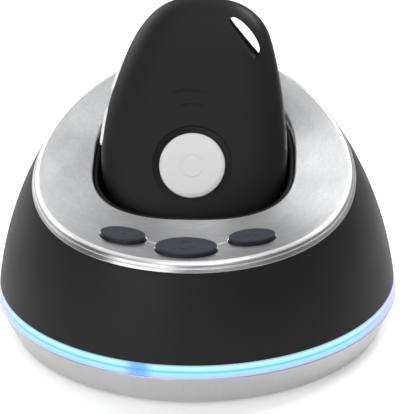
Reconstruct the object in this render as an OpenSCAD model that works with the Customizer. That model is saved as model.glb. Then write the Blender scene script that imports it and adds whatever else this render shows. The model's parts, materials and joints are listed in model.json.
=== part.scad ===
// Personal alarm pendant with a large emergency button, leaning in the pocket of its charging and call station.
// Millimetres, +Z up, +X to the right, the front towards -Y. The origin is on the table under the station's axis.

/* [Station body] */
// Radius of the black dome at its lower edge
body_r = 48.3; // [47.5:0.1:50]
// Height of the dome's lower edge above the table
body_z = 11.5; // [11:0.1:13]
// Radius of the arc that the dome's side follows
dome_arc_r = 87.8; // [84:0.2:94]
// Depth of that arc's centre below the dome's lower edge
dome_arc_drop = 12.05; // [10:0.05:14]
// Wall of the black dome
body_wall = 2.2; // [1.8:0.1:3]

/* [Station top] */
// Height of the dished top above the table, on the station's axis
top_z = 45.8; // [44.5:0.1:47]
// Slope of the dished top on the station's axis
top_slope = 24.9; // [23:0.1:27]
// Radius of the dish, which curves only from front to back
dish_r = 137.5; // [120:0.5:160]
// Thickness of the metal top
plate_t = 2.1; // [1.8:0.1:2.6]

/* [Station foot] */
// Reach of the metal foot ring past the dome, where the ring is widest
foot_flare = 0.6; // [0.3:0.1:1.2]
// Taper of the foot ring's radius from its widest line to its bottom edge
foot_taper = 3.3; // [2.6:0.1:4]
// Height of the foot ring's bottom edge above the table
foot_ring_low_z = 0.5; // [0.3:0.1:0.8]
// Thickness of the bottom cover
cover_t = 2; // [1.6:0.1:2.2]
// Height of the bottom cover's underside above the table
cover_z = 1; // [0.8:0.1:1.2]
// Radius of a rubber foot
foot_r = 4.5; // [3:0.1:5.5]
// Distance of the feet and of the bottom screws from the dome's lower edge
foot_inset = 11.8; // [10.5:0.1:12.5]
// Distance of the steel ballast plate's edge from the dome's lower edge
ballast_inset = 16.8; // [16.5:0.1:22]
// Thickness of the ballast plate
ballast_t = 3; // [2:0.1:4]

/* [Light ring] */
// Height of the light guide between the foot ring and the dome
guide_h = 3.05; // [2.8:0.05:3.4]
// Height of the light guide's lower, chamfered part
guide_step = 1.35; // [1:0.05:1.6]
// Height and depth of the groove between the light guide's two parts
guide_groove = 0.15; // [0.1:0.05:0.3]
// Radial depth of the light guide
guide_depth = 2.6; // [2:0.1:3]
// Number of lamps round the light ring
led_count = 16; // [8:1:24]

/* [Call buttons] */
// Half length of the centre button
center_button_a = 6.9; // [6:0.05:7.2]
// Half width of the centre button
center_button_b = 3.25; // [2.9:0.05:3.5]
// Half length of a side button
side_button_a = 5.3; // [4.6:0.05:5.5]
// Half width of a side button
side_button_b = 2.4; // [2.2:0.05:2.7]
// Distance between the middles of the centre button and of a side button, from left to right
side_button_x = 14.5; // [14.3:0.1:15.2]
// Distance of the side buttons behind the dome's lower front edge
side_button_inset = 16; // [15.7:0.1:16.5]
// Distance of the centre button behind the dome's lower front edge
center_button_inset = 11.6; // [11.3:0.1:12]
// Turn of a side button, its inner end nearer to the front
side_button_turn = 12; // [5:1:15]
// Height of a button above the metal top
button_proud = 1.25; // [1:0.05:1.6]
// Travel of a call button
button_travel = 0.8; // [0.4:0.05:1]

/* [Pocket] */
// Lean of the pendant and its pocket from upright
lean = 34; // [31:0.5:36]
// Distance of the pendant's bottom end behind the dome's lower front edge
cradle_inset = 30.5; // [29.8:0.1:31.3]
// Depth of the pendant's bottom end below the top's height on the axis
cradle_drop = 20.7; // [20.2:0.1:21.2]
// Half width of the pocket's black wall, outside
pocket_half_w = 23.6; // [23.5:0.1:24.4]
// Reach of the pocket's outside towards the front, from its widest line
pocket_front = 12.3; // [11.9:0.1:12.8]
// Reach of the pocket's outside towards the rear, from its widest line
pocket_rear = 11.9; // [11.5:0.1:12.7]
// Wall of the pocket
pocket_wall = 1.2; // [1:0.05:1.5]
// Space between the pocket's floor and the pendant's bottom end
floor_gap = 0.3; // [0.2:0.05:0.5]

/* [Pendant] */
// Width of the pendant's broad lower end
pendant_w = 44; // [43:0.2:44.4]
// Thickness of the pendant
pendant_t = 16; // [15.4:0.1:16.2]
// Wall of the pendant's shells
pendant_wall = 1.6; // [1.4:0.1:1.8]
// Radius of the round emergency button
sos_r = 7.65; // [6.5:0.05:8]
// Distance of the emergency button's middle below the pendant's widest line
sos_drop = 2.9; // [2:0.1:4]
// Travel of the emergency button
sos_travel = 0.4; // [0.2:0.05:0.45]
// Length of a side key
key_len = 9.2; // [7:0.1:9.6]
// Width of a side key
key_w = 3.2; // [2.4:0.1:3.6]
// Height of a side key above the pendant's edge
key_proud = 0.5; // [0.35:0.05:0.7]
// Travel of a side key
key_travel = 0.3; // [0.1:0.05:0.35]
// Greatest width of the lanyard slot
slot_w = 3.6; // [3:0.1:3.9]

/* [Sound and power] */
// Radius of the station's loudspeaker
speaker_r = 15; // [12:0.1:15.5]
// Distance of the loudspeaker's middle below the top's height on the axis
speaker_drop = 6.8; // [6:0.1:7.4]
// Radius of a grille hole
grille_hole_r = 1.1; // [0.8:0.05:1.4]
// Radius of the power socket's bore
inlet_bore_r = 2.75; // [2.4:0.05:3]
// Height of the power socket's mouth above the dome's lower edge
inlet_rise = 6.5; // [6.2:0.1:7.2]

/* [Hidden] */

// Clearances
slide_gap = 0.15;
screw_gap = 0.05;
seat_gap = 0.1;
// Reach of a cutting solid past the piece that it cuts
over = 1;
// Facets of large and of small round shapes
round_fine = 180;
round_small = 32;
// Thickness of the slices at the ends of a hull, and reach of a prism drawn up out of the pocket
slice = 0.1;
pocket_reach = 60;

// Centre of the arc that the dome's side follows, in the plane of radius and height
dome_cx = body_r - sqrt(pow(dome_arc_r, 2) - pow(dome_arc_drop, 2));
dome_cz = body_z - dome_arc_drop;
// Radii and heights of the foot ring
foot_ring_r = body_r + foot_flare;
foot_ring_low_r = foot_ring_r - foot_taper;
foot_ring_top_z = body_z - guide_h;
// Places that follow the dome and its top
side_button_y = body_r - side_button_inset;
center_button_y = body_r - center_button_inset;
cradle_front = body_r - cradle_inset;
cradle_z = top_z - cradle_drop;
// Where the pendant's middle line passes the top's height on the axis
pocket_y = cradle_drop * tan(lean) - cradle_front;
speaker_z = top_z - speaker_drop;
inlet_z = body_z + inlet_rise;
// Centre of the dish, in the plane from front to back
dish_y = -dish_r * sin(top_slope);
dish_z = top_z + dish_r * cos(top_slope);

// Radius of the dome at a height, with its side moved in
function dome_r_at(z, inset = 0) = dome_cx + sqrt(pow(dome_arc_r - inset, 2) - pow(z - dome_cz, 2));
// Points of an ellipse
function ellipse_points(a, b, n = 48) = [for (i = [0:n - 1]) [a * cos(360 * i / n), b * sin(360 * i / n)]];
// A sine or cosine bent so that its curve becomes a superellipse
function bent(value, power) = sign(value) * pow(abs(value), 2 / power);
// Outline of the pocket, widest at pocket_mid, rounder towards the front and squarer towards the rear
pocket_mid = -0.4;
front_power = 2.5;
rear_power = 3;
function pocket_points(grow, n = 64) = [for (i = [0:n - 1])
    let (t = 360 * i / n, rear = sin(t) > 0, power = rear ? rear_power : front_power)
    [(pocket_half_w + grow) * bent(cos(t), power),
     pocket_mid + ((rear ? pocket_rear : pocket_front) + grow) * bent(sin(t), power)]];

// The frame of the pendant: its bottom end at the origin, +Z along its length, the front towards -Y
module cradle() translate([0, -cradle_front, cradle_z]) rotate([-lean, 0, 0]) children();
// A place on the dished top at x and y, with +Z square to the surface
module on_dish(x, y) translate([x, dish_y, dish_z]) rotate([asin((y - dish_y) / dish_r), 0, 0])
    translate([0, 0, -dish_r]) children();
// A place on the rear of the dome at a height, with +Z square to the surface
module on_rear(z)
    translate([0, dome_r_at(z), z]) rotate([asin((z - dome_cz) / dome_arc_r) - 90, 0, 0]) children();
// Copies round the station's axis
module ring_of(count, r, start = 0)
    for (i = [0:count - 1]) rotate([0, 0, start + 360 * i / count]) translate([r, 0, 0]) children();
// A box from its lowest to its highest corner
module block(low, high) translate(low) cube(high - low);
// A round post along Z between two heights
module post(r, low, high, facets = round_small) translate([0, 0, low]) cylinder(r = r, h = high - low, $fn = facets);

// The solid of the dome, with its side moved in and its bottom moved down
module dome(inset = 0, down = 0) rotate_extrude($fn = round_fine) intersection() {
    translate([dome_cx, dome_cz]) circle(r = dome_arc_r - inset, $fn = 2 * round_fine);
    translate([0, body_z - down]) square([body_r + over, dome_arc_r]);
}
// The space over the dished top, or over a surface that lies depth below it
module above_dish(depth = 0) translate([0, dish_y, dish_z]) rotate([0, 90, 0])
    cylinder(r = dish_r + depth, h = 2 * (body_r + over), center = true, $fn = 2 * round_fine);
// The pocket's outline drawn out along the pendant's length
module pocket_prism(grow, low, high = pocket_reach) cradle() translate([0, 0, low]) linear_extrude(high - low)
    polygon(pocket_points(grow));

// Foot
foot_h = 1.2;
cover_top = cover_z + cover_t;
ring_wall = 2.4;
guide_in_r = body_r - guide_depth;
board_seat_z = foot_ring_top_z - 0.45;
ledge_z = board_seat_z - 1.6;
ledge_in_r = guide_in_r - 3.2;
cover_r = foot_ring_low_r - ring_wall - seat_gap;
cover_wall = 1;
screw_circle_r = body_r - foot_inset;
screw_head_r = 2.7;
screw_head_t = 1.4;
screw_r = 1.2;
boss_r = 3.4;
boss_top_z = body_z + 0.7;
post_top_z = boss_top_z + 9.8;
ballast_r = body_r - ballast_inset;
board_boss_circle_r = ballast_r - 5.5;
board_boss_r = 2.8;
board_z = cover_top + ballast_t + 2;
board_t = 1.6;
board_r = ballast_r - 2;
foot_circle_r = body_r - foot_inset;
// Height of a screw head's underside in the bottom cover, and depth to which the bosses run into the cover
screw_head_z = cover_z + 0.2;
boss_root = 0.2;
// Play of a screw in the hole that it passes through, and floor under a blind screw hole
screw_play = 0.2;
blind_floor = 0.6;

// Tapered metal ring round the foot, with a ledge inside for the lamp board and the light guide
module base_ring() color([0.78, 0.78, 0.79]) rotate_extrude($fn = round_fine) polygon([
    [foot_ring_low_r - 0.5, foot_ring_low_z], [foot_ring_low_r, foot_ring_low_z + 0.4],
    [foot_ring_r, foot_ring_top_z], [guide_in_r, foot_ring_top_z], [guide_in_r, board_seat_z],
    [ledge_in_r, board_seat_z], [ledge_in_r, ledge_z], [guide_in_r, ledge_z],
    [foot_ring_low_r - ring_wall, screw_head_z], [foot_ring_low_r - ring_wall, foot_ring_low_z]
]);

// Round bottom cover with its feet's seats, the wall that carries the foot ring, and the screw bosses
module bottom_cover() color([0.13, 0.13, 0.14]) difference() {
    union() {
        post(cover_r, cover_z, cover_top, round_fine);
        difference() {
            post(cover_r, cover_z, ledge_z, round_fine);
            post(cover_r - cover_wall, cover_z - over, ledge_z + over, round_fine);
        }
        ring_of(4, screw_circle_r, 45) post(boss_r, cover_top - boss_root, boss_top_z);
        ring_of(4, board_boss_circle_r) post(board_boss_r, cover_top - boss_root, board_z);
    }
    ring_of(4, foot_circle_r) post(foot_r, cover_z - over, foot_h);
    ring_of(4, screw_circle_r, 45) {
        post(screw_head_r + seat_gap, cover_z - over, screw_head_z + screw_head_t);
        post(screw_r + screw_play, cover_z, boss_top_z + over);
    }
    ring_of(4, board_boss_circle_r) post(screw_r, cover_top + blind_floor, board_z + over);
}

// Four rubber feet, set into the bottom cover
module rubber_feet() color([0.08, 0.08, 0.08]) ring_of(4, foot_circle_r) post(foot_r, 0, foot_h);

// Round steel weight on the bottom cover
module ballast_plate() color([0.6, 0.61, 0.63]) difference() {
    post(ballast_r, cover_top, cover_top + ballast_t, round_fine);
    ring_of(4, board_boss_circle_r) post(board_boss_r + slide_gap, 0, cover_top + ballast_t + over);
}

// Translucent ring between the foot ring and the dome: a chamfered lower part, a groove and an upper part
step_z = foot_ring_top_z + guide_step;
module light_guide() color([0.6, 0.95, 1]) rotate_extrude($fn = round_fine) polygon([
    [guide_in_r, foot_ring_top_z], [foot_ring_r - seat_gap, foot_ring_top_z], [body_r + seat_gap, step_z],
    [body_r - guide_groove, step_z], [body_r - guide_groove, step_z + guide_groove],
    [body_r + screw_gap, step_z + guide_groove], [body_r, body_z], [guide_in_r, body_z]
]);

// Narrow ring board under the lamps
led_board_t = 0.8;
led_board_reach = 1.6;
led_h = 1.1;
led_w = 3.2;
led_depth = 1.8;
module led_board() color([0.9, 0.9, 0.88]) difference() {
    post(guide_in_r - seat_gap, board_seat_z, board_seat_z + led_board_t, round_fine);
    post(ledge_in_r - led_board_reach, board_seat_z - over, board_seat_z + led_board_t + over, round_fine);
}

// Side lamps that shine into the light guide
module ring_leds() color([0.55, 0.9, 1]) ring_of(led_count, guide_in_r - led_depth, 180 / led_count)
    translate([-led_depth / 2, -led_w / 2, board_seat_z + led_board_t]) cube([led_depth, led_w, led_h]);

// Loudspeaker mounting, measured inwards from the dome's surface
speaker_depth = 7;
duct_wall = 1.4;
grille_pitch = 4.2;
grille_holes = [for (i = [-2:2]) for (j = [-2:2]) if (abs(i + j) <= 2)
    [grille_pitch * (i + j / 2), grille_pitch * j * sqrt(3) / 2]];

// Power socket, measured inwards from the dome's surface
inlet_r = 4.2;
inlet_flange_r = 5.2;
inlet_flange_t = 0.2;
inlet_seat = 0.6;
// Depth and radius of the flat seat inside the dome for the socket's nut
nut_seat = 2;
nut_seat_r = inlet_flange_r + 0.9;
rib_half_t = 1;

// Black dome with its screw posts, the loudspeaker's duct and holes, and the seat of the power socket
module body_shell() color([0.17, 0.17, 0.175]) difference() {
    union() {
        difference() {
            dome();
            dome(body_wall, over);
        }
        intersection() {
            dome(body_wall / 2);
            ring_of(4, screw_circle_r, 45) union() {
                post(boss_r, boss_top_z, post_top_z);
                block([0, -rib_half_t, boss_top_z], [body_r - screw_circle_r, rib_half_t, post_top_z]);
            }
        }
        intersection() {
            dome(body_wall / 2);
            on_rear(speaker_z) difference() {
                post(speaker_r + duct_wall / 2, -speaker_depth, 2 * over, round_fine);
                post(speaker_r - duct_wall, -speaker_depth - over, 3 * over, round_fine);
            }
        }
    }
    above_dish(plate_t);
    on_rear(speaker_z) for (p = grille_holes) translate([p[0], p[1], 0])
        post(grille_hole_r, 2 - speaker_depth, over);
    on_rear(inlet_z) {
        post(inlet_r + seat_gap, -nut_seat - over, over);
        post(inlet_flange_r + seat_gap, -inlet_seat, over);
        post(nut_seat_r, -nut_seat - 4 * over, -nut_seat);
    }
    ring_of(4, screw_circle_r, 45) post(screw_r, boss_top_z - over, post_top_z - 1.5);
}

// The three call buttons: place, half length, half width and turn
buttons = [
    [-side_button_x, -side_button_y, side_button_a, side_button_b, -side_button_turn],
    [0, -center_button_y, center_button_a, center_button_b, 0],
    [side_button_x, -side_button_y, side_button_a, side_button_b, side_button_turn]
];
button_flange = 0.8;
button_flange_t = 0.8;
plunger_r = 1.8;
plunger_h = 0.4;
button_edge = 0.45;
// Depths below the metal top's surface, along its normal
flange_depth = plate_t + seat_gap;
plunger_depth = flange_depth + button_flange_t + plunger_h;
mat_depth = plunger_depth + button_travel + seat_gap;
mat_t = 0.8;
switch_depth = mat_depth + mat_t;
switch_h = 1.5;
keypad_board_depth = switch_depth + switch_h;
keypad_board_t = 1;

// One call button's place, turned with its outline
module at_button(i) let (b = buttons[i]) on_dish(b[0], b[1]) rotate([0, 0, b[4]]) children();
// One call button's outline between two depths
module button_solid(i, grow, low, high) let (b = buttons[i])
    translate([0, 0, low]) linear_extrude(high - low) polygon(ellipse_points(b[2] + grow, b[3] + grow));

// One call button with its chamfered top, the flange that holds it in, and its plunger
module call_button(i) color([0.2, 0.21, 0.25]) {
    at_button(i) {
        button_solid(i, 0, -flange_depth - button_flange_t, button_proud - button_edge);
        hull() {
            button_solid(i, 0, button_proud - button_edge - slice, button_proud - button_edge);
            button_solid(i, -button_edge, button_proud - slice, button_proud);
        }
        post(plunger_r, -plunger_depth, -flange_depth);
    }
    intersection() {
        at_button(i) button_solid(i, button_flange, -flange_depth - button_flange_t, -flange_depth);
        dome(flange_inset);
    }
}
module button_left() call_button(0);
module button_center() call_button(1);
module button_right() call_button(2);

// The thin bright line that joins the buttons: an arc round a point behind them
trim_r = 17.6;
trim_behind = 18.4;
trim_y = trim_behind - center_button_y;
trim_w = 0.35;
trim_depth = 0.5;
trim_proud = 0.08;
module trim_line(grow) intersection() {
    translate([0, trim_y, 0]) difference() {
        post(trim_r + trim_w / 2 + grow, 0, 2 * top_z, round_fine);
        post(trim_r - trim_w / 2 - grow, -over, 2 * top_z + over, round_fine);
    }
    block([-side_button_x, -body_r, 0], [side_button_x, -side_button_y, 2 * top_z]);
    above_dish(trim_depth + grow);
    difference() {
        translate([0, 0, body_z]) cube([2 * body_r, 2 * body_r, 3 * top_z], center = true);
        for (i = [0:2]) at_button(i) button_solid(i, 2 * slide_gap - grow, -plate_t - over, plate_t + over);
    }
}
module button_trim() color([0.97, 0.97, 0.97]) difference() {
    trim_line(0);
    above_dish(-trim_proud);
}

// Screws that hold the pocket under the metal top, and the bosses of the keypad board
side_screw_x = pocket_half_w + 3.4;
side_screw_y = pocket_y + 1.2;
rear_screw_x = 17.5;
rear_screw_y = pocket_y + 20.7;
plate_screw_places = [
    [-side_screw_x, side_screw_y], [side_screw_x, side_screw_y], [-rear_screw_x, rear_screw_y],
    [rear_screw_x, rear_screw_y]
];
plate_screw_r = 0.9;
plate_screw_head_r = 1.8;
plate_screw_head_t = 1.2;
plate_screw_reach = 1.3;
keypad_boss_x = side_button_x + 7.7;
keypad_boss_y = side_button_y - 1.6;
keypad_boss_places = [[-keypad_boss_x, -keypad_boss_y], [keypad_boss_x, -keypad_boss_y]];
keypad_boss_r = 1.5;
keypad_screw_r = 0.7;

// Dished metal top, cut for the pocket, the buttons and the bright line
module top_plate() color([0.8, 0.8, 0.82]) difference() {
    union() {
        difference() {
            intersection() {
                dome();
                above_dish(plate_t);
            }
            above_dish();
        }
        for (p = keypad_boss_places) on_dish(p[0], p[1])
            post(keypad_boss_r, -keypad_board_depth + screw_gap, -plate_t / 2);
    }
    pocket_prism(seat_gap, 0);
    for (i = [0:2]) at_button(i) button_solid(i, slide_gap, -plate_t - over, over);
    trim_line(screw_gap);
    for (p = plate_screw_places) on_dish(p[0], p[1])
        post(plate_screw_r + screw_gap, -plate_t - over, -plate_t + plate_screw_reach);
    for (p = keypad_boss_places) on_dish(p[0], p[1])
        post(keypad_screw_r + screw_gap, -keypad_board_depth - over, -plate_t);
}

// Pocket that the pendant leans in, with the flange that hangs it under the metal top
floor_t = 1.3;
flange_w = 6;
flange_t = 1.5;
flange_front_y = pocket_y - 17.2;
flange_inset = body_wall + 0.5;
window_x = 6.4;
window_y = 2.4;
module pocket_liner() color([0.07, 0.07, 0.075]) difference() {
    union() {
        pocket_prism(0, -floor_gap - floor_t);
        intersection() {
            pocket_prism(flange_w, 0);
            dome(flange_inset);
            above_dish(plate_t + flange_t);
            block([-body_r, flange_front_y, 0], [body_r, body_r, 3 * top_z]);
        }
    }
    difference() {
        above_dish(plate_t);
        pocket_prism(0, -floor_gap - floor_t);
    }
    above_dish();
    pocket_prism(-pocket_wall, -floor_gap);
    cradle() block([-window_x, -window_y, -floor_gap - floor_t - over], [window_x, window_y, over]);
    for (p = plate_screw_places) on_dish(p[0], p[1])
        post(plate_screw_r + screw_play, -plate_t - flange_t - over, -plate_t + over);
}

// Two rubber bars on the pocket's rear wall that the pendant rests on
pad_x = 11;
pad_r = 1.6;
pad_y = 9.4;
pad_low = 5;
pad_high = 19;
module rest_pads() color([0.1, 0.1, 0.1]) intersection() {
    pocket_prism(-pocket_wall, -floor_gap);
    cradle() for (side = [-1, 1]) translate([side * pad_x, pad_y, 0]) post(pad_r, pad_low, pad_high);
}

// Charging contacts in the pocket's floor
contact_x = 4;
pin_r = 0.8;
pin_low = -4.6;
pin_travel = 0.6;
barrel_r = 1.25;
barrel_floor = 0.4;
barrel_low = pin_low - pin_travel - 2 * seat_gap - barrel_floor;
block_low = barrel_low - 0.4;
block_side_x = 1.4;
block_side_y = 0.8;
contact_z = 0.3;

// Plastic block that carries the two charging contacts
module charge_block() color([0.12, 0.12, 0.12]) cradle() difference() {
    union() {
        block([-window_x - block_side_x, -window_y - block_side_y, block_low],
            [window_x + block_side_x, window_y + block_side_y, -floor_gap - floor_t]);
        block([-window_x + seat_gap, -window_y + seat_gap, block_low],
            [window_x - seat_gap, window_y - seat_gap, -floor_gap]);
    }
    for (side = [-1, 1]) translate([side * contact_x, 0, 0]) post(barrel_r, barrel_low, over);
}

// Brass barrels of the charging pins
module charge_barrels() color([0.8, 0.66, 0.35]) cradle()
    for (side = [-1, 1]) translate([side * contact_x, 0, 0]) difference() {
        post(barrel_r, barrel_low, -floor_gap);
        post(pin_r + screw_gap, barrel_low + barrel_floor, over);
    }

// One sprung charging pin with a tapered tip
module charge_pin(side) color([0.85, 0.7, 0.35]) cradle() translate([side * contact_x, 0, 0]) {
    post(pin_r, pin_low, -floor_gap);
    translate([0, 0, -floor_gap])
        cylinder(r1 = pin_r, r2 = pin_r / 2, h = floor_gap + contact_z - screw_gap, $fn = round_small);
}
module charge_pin_left() charge_pin(-1);
module charge_pin_right() charge_pin(1);

// Space of the keypad under the buttons, with its margins round their middles
keypad_side = 9.9;
keypad_low = 4.8;
keypad_high = 2.8;
keypad_half_x = side_button_x + keypad_side;
keypad_front = -center_button_y - keypad_low;
keypad_rear = -side_button_y + keypad_high;
mat_reach = 2;
module keypad_layer(depth, thickness, rear) intersection() {
    dome(flange_inset);
    difference() {
        above_dish(depth + thickness);
        above_dish(depth);
    }
    block([-keypad_half_x, keypad_front, 0], [keypad_half_x, rear, top_z]);
}

// Silicone mat over the keypad's switches
module button_mat() color([0.3, 0.3, 0.32]) difference() {
    keypad_layer(mat_depth, mat_t, keypad_rear);
    for (p = keypad_boss_places) on_dish(p[0], p[1])
        post(keypad_boss_r + seat_gap, -mat_depth - mat_t - over, over);
}

// Keypad board
module button_board() color([0.1, 0.32, 0.18]) difference() {
    keypad_layer(keypad_board_depth, keypad_board_t, keypad_rear - mat_reach);
    for (p = keypad_boss_places) on_dish(p[0], p[1])
        post(keypad_screw_r + screw_play, -keypad_board_depth - keypad_board_t - over, over);
}

// Three switches on the keypad board, one under each button
tact_half_x = 2.6;
tact_half_y = 2.2;
tact_h = 0.9;
tact_cap_r = 1.4;
module button_switches() color([0.75, 0.75, 0.76]) intersection() {
    for (b = buttons) on_dish(b[0], b[1]) union() {
        block([-tact_half_x, -tact_half_y, -keypad_board_depth - over],
            [tact_half_x, tact_half_y, -keypad_board_depth + tact_h]);
        post(tact_cap_r, -keypad_board_depth - over, 0);
    }
    difference() {
        above_dish(keypad_board_depth);
        above_dish(switch_depth);
    }
}

// Two screws that hold the keypad board to the metal top's bosses
keypad_head_r = 1.3;
keypad_head_t = 1;
keypad_screw_bite = 2.4;
module keypad_screws() color([0.7, 0.7, 0.72]) for (p = keypad_boss_places) on_dish(p[0], p[1])
    translate([0, 0, -keypad_board_depth - keypad_board_t - screw_gap]) {
        post(keypad_head_r, -keypad_head_t, 0);
        post(keypad_screw_r, -keypad_head_t / 2, keypad_board_t + keypad_screw_bite);
    }

// Main board on the bottom cover's bosses
module main_board() color([0.08, 0.3, 0.16]) difference() {
    post(board_r, board_z, board_z + board_t, round_fine);
    ring_of(4, board_boss_circle_r) post(screw_r + screw_play, board_z - over, board_z + board_t + over);
}
board_top = board_z + board_t;

// Processor, modem and power chips: low corner, length, width and height
chips = [[-18, 8, 10, 10, 1.4], [8, 10, 8, 7, 1.2], [4, -20, 6, 5, 1]];
module main_chips() color([0.1, 0.1, 0.11])
    for (c = chips) translate([c[0], c[1], board_top]) cube([c[2], c[3], c[4]]);

// Screening can over the radio
can_x = -20;
can_y = -14;
can_l = 16;
can_w = 14;
can_h = 2.4;
can_wall = 0.3;
module board_shield() color([0.78, 0.78, 0.79]) translate([can_x, can_y, board_top]) difference() {
    cube([can_l, can_w, can_h]);
    block([can_wall, can_wall, -over], [can_l - can_wall, can_w - can_wall, can_h - can_wall]);
}

// Microphone at the front of the main board
microphone_r = 2;
microphone_t = 1.6;
module station_microphone() color([0.7, 0.66, 0.5])
    translate([can_x + can_l - microphone_r, can_y - 3 * microphone_r, board_top])
        post(microphone_r, 0, microphone_t);

// Round power socket held in the dome's rear, its contact pin and its nut
inlet_len = 12;
inlet_floor = 2;
inlet_pin_r = 0.95;
inlet_pin_depth = 1.6;
nut_r = inlet_flange_r + 0.3;
nut_t = 2.1;
module power_inlet() color([0.1, 0.1, 0.1]) on_rear(inlet_z) difference() {
    union() {
        post(inlet_flange_r, -inlet_seat, inlet_flange_t);
        post(inlet_r, -inlet_len, -inlet_seat);
    }
    post(inlet_bore_r, -inlet_len + inlet_floor, over);
}
module inlet_pin() color([0.85, 0.8, 0.6]) on_rear(inlet_z)
    post(inlet_pin_r, -inlet_len + inlet_floor, -inlet_pin_depth);
module inlet_nut() color([0.7, 0.7, 0.72]) on_rear(inlet_z) difference() {
    post(nut_r, -nut_seat - seat_gap - nut_t, -nut_seat - seat_gap);
    post(inlet_r, -inlet_len, 0);
}

// Loudspeaker frame, cone and magnet behind the rear grille
frame_t = 1.4;
magnet_r = 8.5;
magnet_t = 5;
magnet_wall = 1.4;
gap_r = 5;
basket_low = -7;
basket_t = 0.8;
rim_in_r = speaker_r - 2.8;
module at_speaker() on_rear(speaker_z) translate([0, 0, -speaker_depth]) children();
module speaker_frame() color([0.25, 0.25, 0.26]) at_speaker() rotate_extrude($fn = round_fine) polygon([
    [speaker_r, 0], [speaker_r, -frame_t], [rim_in_r + basket_t - 0.2, -frame_t], [magnet_r + 0.6, basket_low],
    [gap_r + 0.5, basket_low], [gap_r + 0.5, basket_low + basket_t], [magnet_r, basket_low + basket_t],
    [rim_in_r, -0.9], [rim_in_r, 0]
]);
// Cone with its rolled surround, its cap and its coil former
former_r = 4;
former_half_t = 0.4;
former_low = -6;
cone_rim_r = rim_in_r - 0.1;
surround_w = 1.5;
module speaker_cone() color([0.16, 0.16, 0.17]) at_speaker() rotate_extrude($fn = round_fine) polygon([
    [0, -2.6], [former_r, -3.8], [cone_rim_r - surround_w, -0.7], [cone_rim_r - surround_w / 3, -0.2],
    [cone_rim_r, -0.6], [cone_rim_r, -0.9], [cone_rim_r - surround_w, -1.2], [former_r + former_half_t, -4.8],
    [former_r + former_half_t, former_low], [former_r - former_half_t, former_low],
    [former_r - former_half_t, -4.4], [0, -3.2]
]);
module speaker_magnet() color([0.35, 0.35, 0.37]) at_speaker() difference() {
    post(magnet_r, basket_low - magnet_t, basket_low);
    post(gap_r, basket_low - magnet_t + magnet_wall, 0);
}

// Screws up through the bottom cover into the dome's posts, and screws that hold the main board
module bottom_screws() color([0.7, 0.7, 0.72]) ring_of(4, screw_circle_r, 45) {
    post(screw_head_r, screw_head_z, screw_head_z + screw_head_t);
    post(screw_r - screw_gap, screw_head_z + screw_head_t, post_top_z - 2);
}
board_head_r = 2.1;
board_head_t = 1.3;
module board_screws() color([0.7, 0.7, 0.72]) ring_of(4, board_boss_circle_r) {
    post(board_head_r, board_top, board_top + board_head_t);
    post(screw_r - screw_gap, cover_top + blind_floor + 0.4, board_top);
}

// Screws up through the pocket's flange into the metal top
module plate_screws() color([0.7, 0.7, 0.72]) for (p = plate_screw_places) on_dish(p[0], p[1]) {
    post(plate_screw_head_r, -plate_t - flange_t - plate_screw_head_t, -plate_t - flange_t - screw_gap);
    post(plate_screw_r, -plate_t - flange_t - plate_screw_head_t / 2, -plate_t + plate_screw_reach - screw_gap);
}

// Pendant: centre and radius of the round pucks whose hull is its pebble shape
big_r = pendant_w / 2;
sos_z = big_r - sos_drop;
pucks = [
    [0, big_r, big_r], [-3.6, big_r + 8.2, big_r - 4.5], [0.8, big_r + 21.8, big_r - 4.6],
    [-0.8, big_r + 25.2, big_r - 7.9], [5.1, big_r + 25.6, big_r - 8.9]
];
pebble_power = 3;
half_t = pendant_t / 2;
face_y = -half_t;

// Half profile of a puck, a superellipse
function puck_profile(r, h) =
    [for (a = [-90:15:90]) [r * bent(cos(a), pebble_power), h * bent(sin(a), pebble_power)]];
// The pebble with its surface moved in
module pebble(inset = 0) hull() for (p = pucks) translate([p[0], 0, p[1]]) rotate([90, 0, 0])
    rotate_extrude($fn = 36) polygon(puck_profile(p[2] - inset, half_t - inset));
// A round post along the pendant's thickness between two depths
module y_post(x, z, r, low, high)
    translate([x, low, z]) rotate([-90, 0, 0]) cylinder(r = r, h = high - low, $fn = 48);

// Lanyard slot: a segment of a circle, cut through the corner
slot_x = 8.6;
slot_z = big_r + 25.3;
slot_r = 7.05;
slot_turn = 40;
slot_wall = 1.5;
// Tilt of the slot on its way to the rear, about its front mouth
slot_tilt = 10;
slot_mouth_y = -6.5;
module lanyard_slot(grow = 0)
    translate([slot_x, slot_mouth_y, slot_z]) rotate([slot_tilt, 0, 0]) rotate([0, -slot_turn, 0]) intersection() {
        y_post(0, 0, slot_r + grow, -pendant_t, 2 * pendant_t);
        block([slot_r - slot_w - grow, -pendant_t, -2 * slot_r], [3 * slot_r, 2 * pendant_t, 2 * slot_r]);
    }

// Side keys: place on the pendant's edge and the direction that each faces
key_places = [[3.95 - big_r, big_r + 20, 16.5], [0.55 - big_r, big_r + 7.4, 8.5]];
key_y = -1.4;
key_flange = 0.5;
key_depth = 3;
module at_key(i)
    translate([key_places[i][0], key_y, key_places[i][1]]) rotate([0, key_places[i][2], 0]) children();
// A key's rounded bar between two depths, +X pointing into the pendant
module key_bar(grow, low, high) {
    block([low, -key_w / 2 - grow, -key_len / 2 + key_w / 2], [high, key_w / 2 + grow, key_len / 2 - key_w / 2]);
    for (side = [-1, 1]) translate([low, 0, side * (key_len - key_w) / 2]) rotate([0, 90, 0])
        cylinder(r = key_w / 2 + grow, h = high - low, $fn = round_small);
}

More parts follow.
